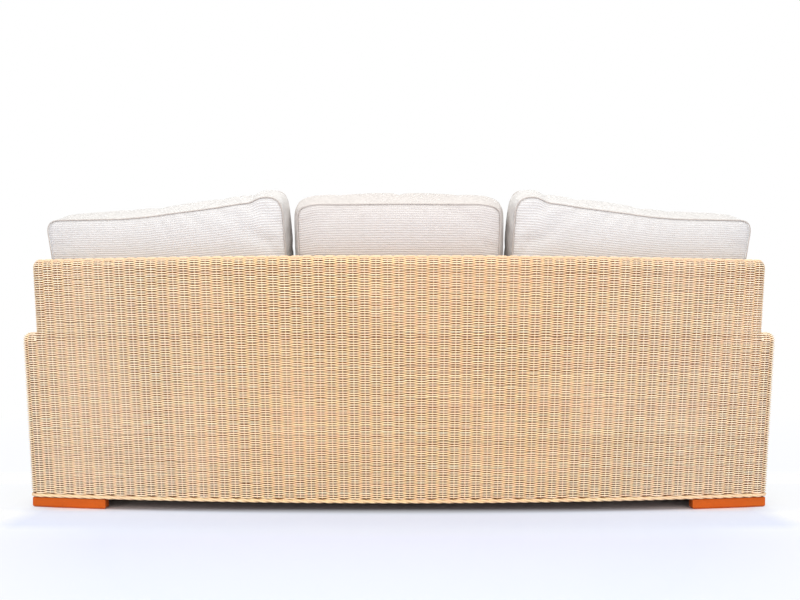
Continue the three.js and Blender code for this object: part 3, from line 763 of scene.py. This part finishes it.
def swept(name, found, tree, swing, sides, look):
    # guide lines to a plain mesh of reeds
    points = np.vstack([run["points"] for run in found])
    counts = [len(run["points"]) for run in found]
    starts = np.concatenate(([0], np.cumsum(counts)[:-1]))
    firsts = np.concatenate([np.arange(c - 1) + s for s, c in zip(starts, counts)])
    edges = np.column_stack((firsts, firsts + 1))
    guide = bpy.data.meshes.new(name + "Guide")
    guide.vertices.add(len(points))
    guide.vertices.foreach_set("co", points.astype(np.float32).ravel())
    guide.edges.add(len(edges))
    guide.edges.foreach_set("vertices", edges.astype(np.int32).ravel())
    for label in ("swing", "gauge", "tone", "lift"):
        kind, field = ("FLOAT_VECTOR", "vector") if label == "swing" else ("FLOAT", "value")
        data = np.concatenate([run[label] for run in found]).astype(np.float32)
        guide.attributes.new(label, kind, "POINT").data.foreach_set(field, data.ravel())
    carrier = linked(name + "Guide", guide)
    modifier = carrier.modifiers.new("reeds", "NODES")
    modifier.node_group = tree
    sockets = [item for item in tree.interface.items_tree if item.item_type == "SOCKET"]
    inputs = {item.name: item.identifier for item in sockets if item.in_out == "INPUT"}
    modifier[inputs["Swing"]] = float(swing)
    modifier[inputs["Sides"]] = int(sides)
    modifier[inputs["Finish"]] = look
    graph = bpy.context.evaluated_depsgraph_get()
    mesh = bpy.data.meshes.new_from_object(carrier.evaluated_get(graph))
    mesh.name = name
    bpy.data.objects.remove(carrier)
    return closedOutwards(linked(name, mesh))


def closedOutwards(piece):
    shell = bmesh.new()
    shell.from_mesh(piece.data)
    if shell.calc_volume(signed=True) < 0:
        bmesh.ops.reverse_faces(shell, faces=shell.faces[:])
        shell.to_mesh(piece.data)
    shell.free()
    return piece


for name, found in runs.items():
    piece = swept(name, found, rowTree, weave["swing"], 4, reedLook)
    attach(piece, "root")
    print(name, len(piece.data.polygons), "faces")


# Dark backing inside the weave: a sheet of painted shade for the shadowed inside seen through the gaps
backing = {"depth": 0.0042, "wall": 0.12}


def backingShell(name, node):
    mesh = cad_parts[node].data.copy()
    mesh.materials.clear()
    mesh.materials.append(paintedShadeLook)
    shell = bmesh.new()
    shell.from_mesh(mesh)
    bmesh.ops.remove_doubles(shell, verts=shell.verts[:], dist=1e-5)
    shell.normal_update()
    skin = BVHTree.FromBMesh(shell)
    moves = []
    for vertex in shell.verts:
        # a thin sliver beside a vertex hardly counts
        sides = (face.normal * face.calc_area() for face in vertex.link_faces)
        normal = sum(sides, Vector()).normalized()
        if skin.ray_cast(vertex.co + normal * 0.0005, normal, backing["wall"])[0] is None:
            moves.append((vertex, normal))
    for vertex, normal in moves:
        vertex.co -= normal * backing["depth"]
    shell.to_mesh(mesh)
    shell.free()
    piece = linked(name, mesh)
    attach(piece, "root")
    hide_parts(node)


for name, node in (
    ("backBacking", "back_weave"),
    ("rightArmBacking", "right_arm_weave"),
    ("leftArmBacking", "left_arm_weave"),
    ("apronBacking", "front_apron_weave"),
):
    backingShell(name, node)
print("backing placed")

# Stakes
def stakeRuns():
    # each stake is a line through the levels that hold its place in the outline
    w = weave
    table = {}
    thinned = [lv for lv in allLevels if lv[3] > 0 or lv[4] % w["stakeStep"] == 0]
    lastBody = max((lv for lv in allLevels if lv[0] == "body"), key=lambda lv: lv[4])
    for kind, z, inset, tilt, row in sorted(set(thinned + [lastBody]), key=lambda lv: lv[4]):
        line, arcs, spans, normals = outlineAt(kind, z, inset)
        placed = anchorArcs(kind, spans)
        for (part, how, where), (name, at) in zip(anchorsOf(kind), placed):
            xy, out = sampled(at, arcs, line, normals)
            key = (part, how, round(where, 5))
            normal = np.append(out * math.cos(tilt), math.sin(tilt))
            table.setdefault(key, []).append((row, kind, np.append(xy, z), normal))
    found = {}
    for (part, how, where), rows in table.items():
        rows.sort(key=lambda item: item[0])
        groups = [rows]
        if part == "rear" and where > (w["stakesTop"] + 0.5) * w["stakePitch"]:
            groups = [[item for item in rows if item[1] != "crest"]]
        for group in groups:
            if len(group) < 2:
                continue
            for side in (1, -1):
                if side < 0 and how == "across" and where == 0.0:
                    continue
                mirror = np.array([side, 1, 1])
                points = np.array([item[2] for item in group]) * mirror
                normal = np.array([item[3] for item in group]) * mirror
                points = points + normal * w["stakeStand"]
                run = guideRun(points, w["stakeGauge"], rng.uniform(*w["stakeTones"]))
                owner = owners[part]
                name = handed(side, "ArmStakes") if owner == "arm" else owner + "Stakes"
                found.setdefault(name, []).append(run)
    return found


for name, found in stakeRuns().items():
    piece = swept(name, found, stakeTree, 0.0, 6, stakeLook)
    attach(piece, "root")
    print(name, len(piece.data.polygons), "faces")

# The twisted border along the lower edge
border = {
    "lay": 0.092,
    "twist": 0.003,
    "strand": 0.0033,
    "strands": 3,
    "step": 0.006,
    "tone": 0.62,
    "toneSpread": 0.1,
    "toneWander": 0.08,
}


def borderRuns():
    line, arcs, spans, normals = outlineAt("body", sofa["braidHeight"], 0.0)
    cuts = {
        "back": (0.0, spans["rearCorner"][1]),
        "side": (spans["rearCorner"][1], spans["frontCorner"][1]),
        "front": (spans["frontCorner"][1], arcs[-1]),
    }
    found = {}
    for label, (low, high) in cuts.items():
        count = max(3, int((high - low) / border["step"]))
        places = np.linspace(low, high, count)
        xy, out = sampled(places, arcs, line, normals)
        for side in (1, -1):
            tone = np.clip(rng.normal(border["tone"], border["toneSpread"], border["strands"]), 0, 1)
            normal = raised(out, 1, 0.0, side)
            centre = raised(xy, 1, sofa["braidHeight"], side) - normal * sofa["braidDepth"]
            name = handed(side, "Border") if label == "side" else label + "Border"
            for strand in range(border["strands"]):
                turn = side * places / border["lay"] * 2 * math.pi
                turn = turn + strand * 2 * math.pi / border["strands"]
                lift = np.cos(turn)
                swing = normal * lift[:, None] + np.array([0, 0, 1]) * np.sin(turn)[:, None]
                tones = tone[strand] + smoothNoise(count, 6, border["toneWander"])
                run = guideRun(centre, border["strand"], tones, lift, swing)
                found.setdefault(name, []).append(run)
    return found


borderNodes = {place + "Border": place + "_border" for place in ("back", "right", "left", "front")}
for name, found in borderRuns().items():
    piece = swept(name, found, rowTree, border["twist"], 8, braidLook)
    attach(piece, "root")
    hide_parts(borderNodes[name])
print("border twisted")

# Feet
feet = {"ease": 0.0012, "segments": 2, "undercut": 0.0045}
for name in ("front_right_foot", "front_left_foot", "rear_right_foot", "rear_left_foot"):
    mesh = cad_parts[name].data.copy()
    mesh.materials.clear()
    mesh.materials.append(footLook)
    shell = bmesh.new()
    shell.from_mesh(mesh)
    bmesh.ops.remove_doubles(shell, verts=shell.verts[:], dist=1e-5)
    flat = math.radians(1)
    bmesh.ops.dissolve_limit(shell, angle_limit=flat, verts=shell.verts[:], edges=shell.edges[:])
    low = [edge for edge in shell.edges if max(v.co.z for v in edge.verts) < 1e-4]
    bmesh.ops.bevel(shell, geom=low, offset=feet["undercut"], segments=1, affect="EDGES", profile=0.5)
    sharp = [edge for edge in shell.edges if edge.calc_face_angle(0) > math.radians(40)]
    rounding = {"offset": feet["ease"], "segments": feet["segments"], "affect": "EDGES", "profile": 0.5}
    bmesh.ops.bevel(shell, geom=sharp, **rounding)
    shell.to_mesh(mesh)
    shell.free()
    words = name.split("_")
    piece = linked(words[0] + words[1].title() + "Foot", mesh)
    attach(piece, "root")
    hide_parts(name)
print("feet eased")

# Cushions
cushionForm = {
    "cell": 0.0115,
    "backThickness": 0.168,
    "seatThickness": 0.16,
    "gap": 0.004,
    "cornerRadius": 0.035,
    "centreCorner": 0.024,
    "centreHalf": 0.277,
    "centreSpread": 0.01,
    "centreTop": ((0.0, 0.861), (0.18, 0.859), (0.22, 0.859), (0.246, 0.855), (0.28, 0.849)),
    "sideInner": (0.296, 0.3205),
    "sideOuter": (0.978, 1.0145),
    "sideTop": (
        (0.32, 0.8655),
        (0.4296, 0.864),
        (0.469, 0.8595),
        (0.4945, 0.8555),
        (0.5515, 0.85),
        (0.6092, 0.8445),
        (0.6441, 0.841),
        (0.7031, 0.8345),
        (0.7777, 0.8305),
        (1.03, 0.832),
    ),
    "earTop": ((0.345, 0.0145), (0.383, 0.0145), (0.395, 0.0075), (0.408, 0.0)),
    "seatWidth": 0.66,
    "seatSetback": 0.006,
    "seatToBack": 0.006,
    "seatRoom": 0.012,
    "seatBulge": 0.006,
    "seatClear": 0.003,
    "backRoom": 0.014,
    "piping": 0.0018,
    "topBulge": 0.014,
    "pipingOut": 0.55,
    "dent": 0.0035,
    "dentWaves": 6,
    "dentLengths": (0.16, 0.34),
    "dentFade": 0.05,
    "pucker": 0.0009,
    "puckerFrom": 0.016,
    "puckerReach": 0.012,
    "puckerTurns": (190, 120, 150),
    "centreReach": 0.2925,
    "sideStart": 0.2945,
}


def backPlace(edges, spread, side):
    f, s = cushionForm, sofa
    rest, crown = s["wall"] + f["gap"], f["backRoom"]
    floor = s["cushionFloor"]
    topLine = np.array(f["sideTop"] if side else f["centreTop"]).T
    earLine = np.array(f["earTop"]).T

    def place(u, v, into):
        bottomX = edges[0] + (edges[2] - edges[0]) * u
        topX = edges[1] + (edges[3] - edges[1]) * u
        topZ = np.interp(np.abs(topX), *topLine)
        ear = np.interp(topX, *earLine) * np.clip(v, 0, 1) ** 8 if side else 0.0
        rearZ = floor + (topZ - floor) * v + ear
        x = bottomX + (topX - bottomX) * v**2
        slope = (rearFace(x, s["backTop"]) - rearFace(x, floor)) / (s["backTop"] - floor)
        turn = np.arctan(slope) * np.minimum(1, 2 * v)
        yaw = s["bowTop"] * 2 * x / s["halfWidth"] ** 2
        forward = into / f["backThickness"]
        shift = -yaw * into * u if side else spread * forward * (2 * u - 1)
        y = rearFace(x, rearZ) - rest - crown - into * np.cos(turn)
        z = rearZ + into * np.sin(turn)
        return np.stack(((x + shift) * (side or 1), y, z), axis=-1)

    return place


def seatPlace(index):
    f, s = cushionForm, sofa
    x0 = (index - 0.5) * (f["seatWidth"] + f["gap"]) + f["gap"] / 2
    crown, bulge = f["seatRoom"], f["seatBulge"]
    front = s["front"] + f["seatSetback"] + bulge + f["seatClear"]
    reach = f["backThickness"] + s["wall"] + 2 * f["gap"] + f["seatToBack"] + 2 * crown
    across = f["seatWidth"] - 2 * bulge

    def place(u, v, into):
        x = x0 + bulge + across * u
        rear = rearFace(x, s["cushionFloor"]) - reach
        return np.stack((x, front + (rear - front) * v, s["cushionFloor"] + into), axis=-1)

    return place


def roundedShare(a, b, width, height, radius):
    # a square panel place, -1 to 1, drawn in to rounded corners
    m = np.maximum(np.maximum(np.abs(a), np.abs(b)), 1e-9)
    qx, qy = a / m * width, b / m * height
    ix, iy = np.clip(qx, radius - width, width - radius), np.clip(qy, radius - height, height - radius)
    dx, dy = qx - ix, qy - iy
    size = np.maximum(np.hypot(dx, dy), 1e-9)
    corner = (np.abs(dx) > 1e-9) & (np.abs(dy) > 1e-9)
    px = np.where(corner, ix + dx / size * radius, qx)
    py = np.where(corner, iy + dy / size * radius, qy)
    return px / width * m, py / height * m


def cushionMesh(name, place, width, height, thickness, corner, topBulge, crown, bulge, tuck):
    # rear panel, boxing and front panel as one closed grid, with the cloth's own map in metres
    f = cushionForm
    nu, nv, nd = (max(4, round(size / f["cell"])) for size in (width, height, thickness))
    nu, nv = nu + nu % 2, nv + nv % 2
    a, b = np.meshgrid(np.linspace(-1, 1, nu + 1), np.linspace(-1, 1, nv + 1), indexing="ij")
    ra, rb = roundedShare(a, b, width / 2, height / 2, corner)
    ta = ra * (1 - tuck * (1 - rb**2))
    tb = rb * (1 - tuck * (1 - ra**2))
    u, v = (ta + 1) / 2, (tb + 1) / 2
    swell = (1 - np.abs(ra) ** 3) * (1 - np.abs(rb) ** 3)
    vertices, faces, loops = [], [], []
    index = {}

    def vertexOf(point, key):
        if key not in index:
            index[key] = len(vertices)
            vertices.append(point)
        return index[key]

    rear = place(u, v, -crown * swell)
    front = place(u, v, thickness + crown * swell)
    for label, grid, flip in (("rear", rear, False), ("front", front, True)):
        for i in range(nu):
            for j in range(nv):
                corners = [(i, j), (i + 1, j), (i + 1, j + 1), (i, j + 1)]
                if flip:
                    corners = corners[::-1]
                faces.append([vertexOf(grid[p, q], (label, p, q)) for p, q in corners])
                loops += [(u[p, q] * width, v[p, q] * height) for p, q in corners]
    edge = [(i, 0) for i in range(nu)] + [(nu, j) for j in range(nv)]
    edge += [(i, nv) for i in range(nu, 0, -1)] + [(0, j) for j in range(nv, 0, -1)]
    eu, ev = (np.array([grid[p, q] for p, q in edge]) for grid in (u, v))
    rounded = np.array([(ra[p, q], rb[p, q]) for p, q in edge])
    out = rounded * np.array([width, height]) / 2
    out = out / np.linalg.norm(out, axis=1)[:, None]
    stepU, stepV = np.diff(np.append(eu, eu[0])) * width, np.diff(np.append(ev, ev[0])) * height
    run = np.concatenate(([0], np.cumsum(np.hypot(stepU, stepV))))
    rings = []
    for d in range(nd + 1):
        share = d / nd
        puff = bulge * (1 - (2 * share - 1) ** 2)
        lift = puff * (1 + (topBulge / bulge - 1) * np.clip(out[:, 1], 0, 1) ** 2)
        pu, pv = eu + out[:, 0] * lift / width, ev + out[:, 1] * lift / height
        rings.append(place(pu, pv, np.full(len(edge), thickness * share)))
    count = len(edge)
    for d in range(nd):
        for k in range(count):
            n = (k + 1) % count
            quad = [(k, d), (k, d + 1), (n, d + 1), (n, d)]
            ids = []
            for m, level in quad:
                if level == 0:
                    ids.append(index[("rear",) + edge[m]])
                elif level == nd:
                    ids.append(index[("front",) + edge[m]])
                else:
                    ids.append(vertexOf(rings[level][m], ("box", level, m)))
            faces.append(ids)
            for m, (_, level) in zip((k, k, k + 1, k + 1), quad):
                loops.append((run[m], 2.0 + thickness * level / nd))
    mesh = bpy.data.meshes.new(name)
    points = np.array(vertices)
    points[:, 2] = np.maximum(points[:, 2], sofa["cushionFloor"])
    mesh.from_pydata([tuple(p) for p in points], [], faces)
    layer = mesh.uv_layers.new(name="cloth")
    layer.data.foreach_set("uv", np.array(loops, np.float32).ravel())
    seams = [[index[(label,) + e] for e in edge] for label in ("rear", "front")]
    frontIds = [place for key, place in index.items() if key[0] == "front"]
    mesh.validate()
    return mesh, seams, frontIds


simulation = {
    "frames": 18,
    "pressure": 4.0,
    "cap": 0.012,
    "frontCap": 0.022,
    "shrink": -0.02,
    "mass": 0.3,
    "stretch": 22,
    "shear": 8,
    "bend": 0.6,
}


def simulated(piece, seams, frontIds):
    # air pressure inside the cover, held along its two piped seams
    held = piece.vertex_groups.new(name="seams")
    held.add([i for seam in seams for i in seam], 1.0, "REPLACE")
    rest = vectorsOf(piece.data.vertices)
    cloth = piece.modifiers.new("cloth", "CLOTH")
    settings = cloth.settings
    settings.quality = 4
    settings.mass = simulation["mass"]
    settings.tension_stiffness = settings.compression_stiffness = simulation["stretch"]
    settings.shear_stiffness = simulation["shear"]
    settings.bending_stiffness = simulation["bend"]
    settings.use_pressure = True
    settings.uniform_pressure_force = simulation["pressure"]
    settings.vertex_group_mass = "seams"
    settings.shrink_min = simulation["shrink"]
    settings.effector_weights.gravity = 0
    scene = bpy.context.scene
    cloth.point_cache.frame_start, cloth.point_cache.frame_end = 1, simulation["frames"]
    for step in range(1, simulation["frames"] + 1):
        scene.frame_set(step)
    graph = bpy.context.evaluated_depsgraph_get()
    moved = vectorsOf(piece.evaluated_get(graph).data.vertices)
    piece.modifiers.remove(cloth)
    scene.frame_set(1)
    shift = moved - rest
    size = np.linalg.norm(shift, axis=1)
    cap = np.full(len(rest), simulation["cap"])
    cap[frontIds] = simulation["frontCap"]
    soft = cap * np.tanh(size / cap)
    result = rest + shift * (soft / np.maximum(size, 1e-9))[:, None]
    result[:, 2] = np.maximum(result[:, 2], sofa["cushionFloor"])
    piece.data.vertices.foreach_set("co", result.ravel())
    piece.data.update()
    print(piece.name, "simulated, largest move", round(float(size.max()), 4))


def relaxed(piece, seams, amount):
    # slow dents over the panels and small puckers along the piping
    f = cushionForm
    points = vectorsOf(piece.data.vertices)
    normals = vectorsOf(piece.data.vertices, "normal")
    phase = rng.uniform(0, 6.28, 12)
    slow = np.zeros(len(points))
    for k in range(f["dentWaves"]):
        direction = rng.normal(0, 1, 3)
        direction /= np.linalg.norm(direction)
        slow += np.sin(points @ direction * (2 * math.pi / rng.uniform(*f["dentLengths"])) + phase[k])
    seamPoints = points[np.concatenate(seams)]
    near = np.empty(len(points))
    for start in range(0, len(points), 2000):
        block = points[start : start + 2000]
        apart = block[:, None, :] - seamPoints[None, ::3, :]
        near[start : start + 2000] = np.sqrt((apart**2).sum(2)).min(1)
    fade = np.clip(near / f["dentFade"], 0, 1)
    turnX, turnY, turnZ = f["puckerTurns"]
    pucker = np.sin(points[:, 0] * turnX + phase[7])
    pucker = pucker * np.sin(points[:, 2] * turnZ + phase[8] + points[:, 1] * turnY)
    close = np.exp(-(((near - f["puckerFrom"]) / f["puckerReach"]) ** 2))
    points += normals * (slow / f["dentWaves"] * amount * fade + pucker * close * f["pucker"])[:, None]
    points[:, 2] = np.maximum(points[:, 2], sofa["cushionFloor"])
    piece.data.vertices.foreach_set("co", points.ravel())
    piece.data.update()


def keptApart(piece, node):
    # the back cushions stay clear of each other when one is lifted out
    side = {"left": -1, "right": 1}.get(node.split("_")[0])
    for vertex in piece.data.vertices:
        if side:
            vertex.co.x = side * max(side * vertex.co.x, cushionForm["sideStart"])
        else:
            vertex.co.x = max(-cushionForm["centreReach"], min(cushionForm["centreReach"], vertex.co.x))


def makeCushion(node, place, width, height, thickness, crown, bulge, tuck, fill):
    words = node.split("_")
    name = words[0] + words[1].title() + "Cushion"
    bodyName = node + "_body"
    topBulge = cushionForm["topBulge"] if "back" in node else bulge
    corner = cushionForm["centreCorner" if node == "centre_back_cushion" else "cornerRadius"]
    sizes = (width, height, thickness, corner, topBulge, crown, bulge, tuck)
    mesh, seams, frontIds = cushionMesh(name, place, *sizes)
    mesh.materials.append(centreFinish if node == "centre_back_cushion" else clothFinish)
    piece = closedOutwards(linked(name, mesh))
    simulated(piece, seams, frontIds)
    relaxed(piece, seams, cushionForm["dent"])
    if "back" in node:
        keptApart(piece, node)
    points = vectorsOf(mesh.vertices)
    found = []
    for seam in seams:
        ring = points[seam + [seam[0]]]
        ring = 0.25 * np.roll(ring[:-1], 1, 0) + 0.5 * ring[:-1] + 0.25 * np.roll(ring[:-1], -1, 0)
        away = ring - ring.mean(0)
        away /= np.linalg.norm(away, axis=1)[:, None]
        ring = ring + away * cushionForm["piping"] * cushionForm["pipingOut"]
        ring[:, 2] = np.maximum(ring[:, 2], sofa["cushionFloor"] + cushionForm["piping"])
        found.append(guideRun(np.vstack((ring, ring[:1])), cushionForm["piping"], 0.5))
    piping = swept(name + "Piping", found, stakeTree, 0.0, 8, pipingLook)
    mesh.polygons.foreach_set("use_smooth", [True] * len(mesh.polygons))
    finer = piece.modifiers.new("finer", "SUBSURF")
    finer.levels = finer.render_levels = 1
    for part in (piece, piping):
        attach(part, bodyName)
    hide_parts(node)
    print(name, len(mesh.polygons), "faces")


f = cushionForm
centreEdges = (-f["centreHalf"], -f["centreHalf"], f["centreHalf"], f["centreHalf"])
sideEdges = (f["sideInner"][0], f["sideInner"][1], f["sideOuter"][0], f["sideOuter"][1])
back = {"thickness": f["backThickness"], "crown": 0.006, "bulge": 0.004, "tuck": 0.01}
cushionCuts = {
    "centre": {"width": 0.554, "height": 0.63, "fill": 0.75, **back},
    "side": {"width": 0.67, "height": 0.62, "fill": 0.7, **back},
    "seat": {
        "width": 0.648,
        "height": 0.57,
        "fill": 0.8,
        "thickness": f["seatThickness"],
        "crown": 0.006,
        "bulge": 0.003,
        "tuck": 0.005,
    },
}
centrePlace = backPlace(centreEdges, f["centreSpread"], 0)
makeCushion("centre_back_cushion", centrePlace, **cushionCuts["centre"])
for label, side in (("right", 1), ("left", -1)):
    makeCushion(label + "_back_cushion", backPlace(sideEdges, 0.0, side), **cushionCuts["side"])
for index, label in ((-1, "left"), (0, "centre"), (1, "right")):
    makeCushion(label + "_seat_cushion", seatPlace(index), **cushionCuts["seat"])

# Finishes of the CAD pieces that stay
nodeLooks = {
    "weave": paintedShadeLook,
    "foot": footLook,
    "rail": railLook,
    "stretcher": railLook,
    "corner_block": railLook,
    "spring": steelLook,
    "deck_cloth": deckLook,
    "dust_cover": coverLook,
    "post": poleLook,
    "upright": poleLook,
    "strut": poleLook,
    "arm_rail": poleLook,
    "top_rail": poleLook,
    "border": braidLook,
    "cushion": clothFinish,
}
for name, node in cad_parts.items():
    look = next(value for key, value in reversed(list(nodeLooks.items())) if key in name)
    node.data.materials.clear()
    node.data.materials.append(look)
print("CAD pieces finished")

# Floor, light and camera
studio = {
    "floorHalf": 30.0,
    "tint": (0.95, 0.98, 1.0),
    "world": 0.6,
}
lamps = {
    "overheadSoftbox": {"size": (5, 4), "place": (0, 1.2, 3.6), "aim": (0, 0.2, 0.3), "power": 110},
    "rearFill": {"size": (8, 3), "place": (0, 5.4, 1.65), "aim": (0, 0.2, 0.4), "power": 240},
    "frontFill": {"size": (4, 2.2), "place": (0, -5.0, 2.2), "aim": (0, 0, 0.4), "power": 150},
}
floorTones = {
    "plain": (218, 224, 238),
    "cloud": (221, 227, 240),
    "behind": (203, 212, 242),
    "far": (214, 217, 233),
    "paintedWarmBounce": (252, 232, 226),
}
floorMesh = bpy.data.meshes.new("studioFloor")
h = studio["floorHalf"]
floorMesh.from_pydata([(-h, -h, 0), (h, -h, 0), (h, h, 0), (-h, h, 0)], [], [(0, 1, 2, 3)])
floor = linked("studioFloor", floorMesh)


def floorFinish():
    # pale floor that keeps the shadow near the sofa and turns white further off, with painted light and
    # shade: warm bounce light under the sofa, a cool tint and glow that lighten the shadow just past
    # its rear, and a darker tone further out from its rear
    tones = {key: colour(*value) for key, value in floorTones.items()}
    finish = Finish("paleFloor", Roughness=0.7, Specular_IOR_Level=0.2)
    place = finish.node("ShaderNodeTexCoord", out=3)
    x, y = (part.size() for part in finish.parts(place)[:2])
    oval = ((x / 1.12) ** 2.0 + (y / 2.3) ** 2.0) ** 0.5
    beside = (((x - 1.01).limited() + (y - 0.51).limited()) * 12.0).limited()
    away = (rise(oval, 0.72, 3.2) * 0.85 + rise(oval, 1.4, 0.8) * 0.15) * beside
    # painted light: a cool tint and a glow for the camera that lighten the shadow just past the sofa's
    # rear
    paintedShadowLift = rise(y, 0.255, 14.0) * rise(y, 0.62, -4.0)
    away = (away + paintedShadowLift * 0.5).limited()
    base = finish.blend(finish.noise(place, 2.0, 1.0), tones["plain"], tones["cloud"])
    base = finish.blend(paintedShadowLift, base, tones["behind"])
    # painted shade: the floor further out from the sofa's rear is darker
    base = finish.blend(rise(y, 0.58, 6.0), base, tones["far"])
    # painted warm bounce light on the floor under the sofa
    base = finish.blend(rise(y, 0.31, -12.0) * rise(x, 1.04, -12.0), base, tones["paintedWarmBounce"])
    finish.feed(Base_Color=base)
    white = finish.node("ShaderNodeEmission", {}, {"Color": (1, 1, 1, 1), "Strength": 1.0})
    surface = Wire(finish, finish.shader.outputs[0])
    finish.mixedOut(finish.watched() * away, surface, white, "Material Output")
    return finish.material


floorMesh.materials.append(floorFinish())


def softLamp(name, size, place, aim, power):
    lamp = bpy.data.lights.new(name, "AREA")
    lamp.shape, lamp.size, lamp.size_y, lamp.energy = "RECTANGLE", size[0], size[1], power
    lamp.color = studio["tint"]
    holder = linked(name, lamp)
    holder.location = place
    direction = np.array(aim, float) - np.array(place, float)
    yaw = math.atan2(-direction[0], direction[1])
    pitch = math.atan2(math.hypot(direction[0], direction[1]), -direction[2])
    holder.rotation_euler = (pitch, 0, yaw)


for name, lamp in lamps.items():
    softLamp(name, **lamp)


def studioWorld():
    world = bpy.data.worlds.new("whiteStudio")
    world.use_nodes = True
    sky = Shading(world.node_tree)
    light, white = (
        sky.node("ShaderNodeBackground", {}, {"Color": tone, "Strength": strength})
        for tone, strength in (((*studio["tint"], 1), studio["world"]), ((1, 1, 1, 1), 1.0))
    )
    sky.mixedOut(sky.watched(), light, white, "World Output")
    return world


bpy.context.scene.world = studioWorld()

view = {"lens": 48.1, "distance": 3.349, "height": 0.5, "rise": 0.0453, "aside": 0.00125}
lens = bpy.data.cameras.new("rearView")
lens.lens, lens.sensor_width = view["lens"], 36.0
lens.shift_x, lens.shift_y = view["aside"], view["rise"]
camera = linked("rearView", lens)
camera.location = (0, view["distance"], view["height"])
camera.rotation_euler = (math.radians(90), 0, math.radians(180))
bpy.context.scene.camera = camera
bpy.context.scene.view_settings.view_transform = "Standard"
print("floor, light and camera set")
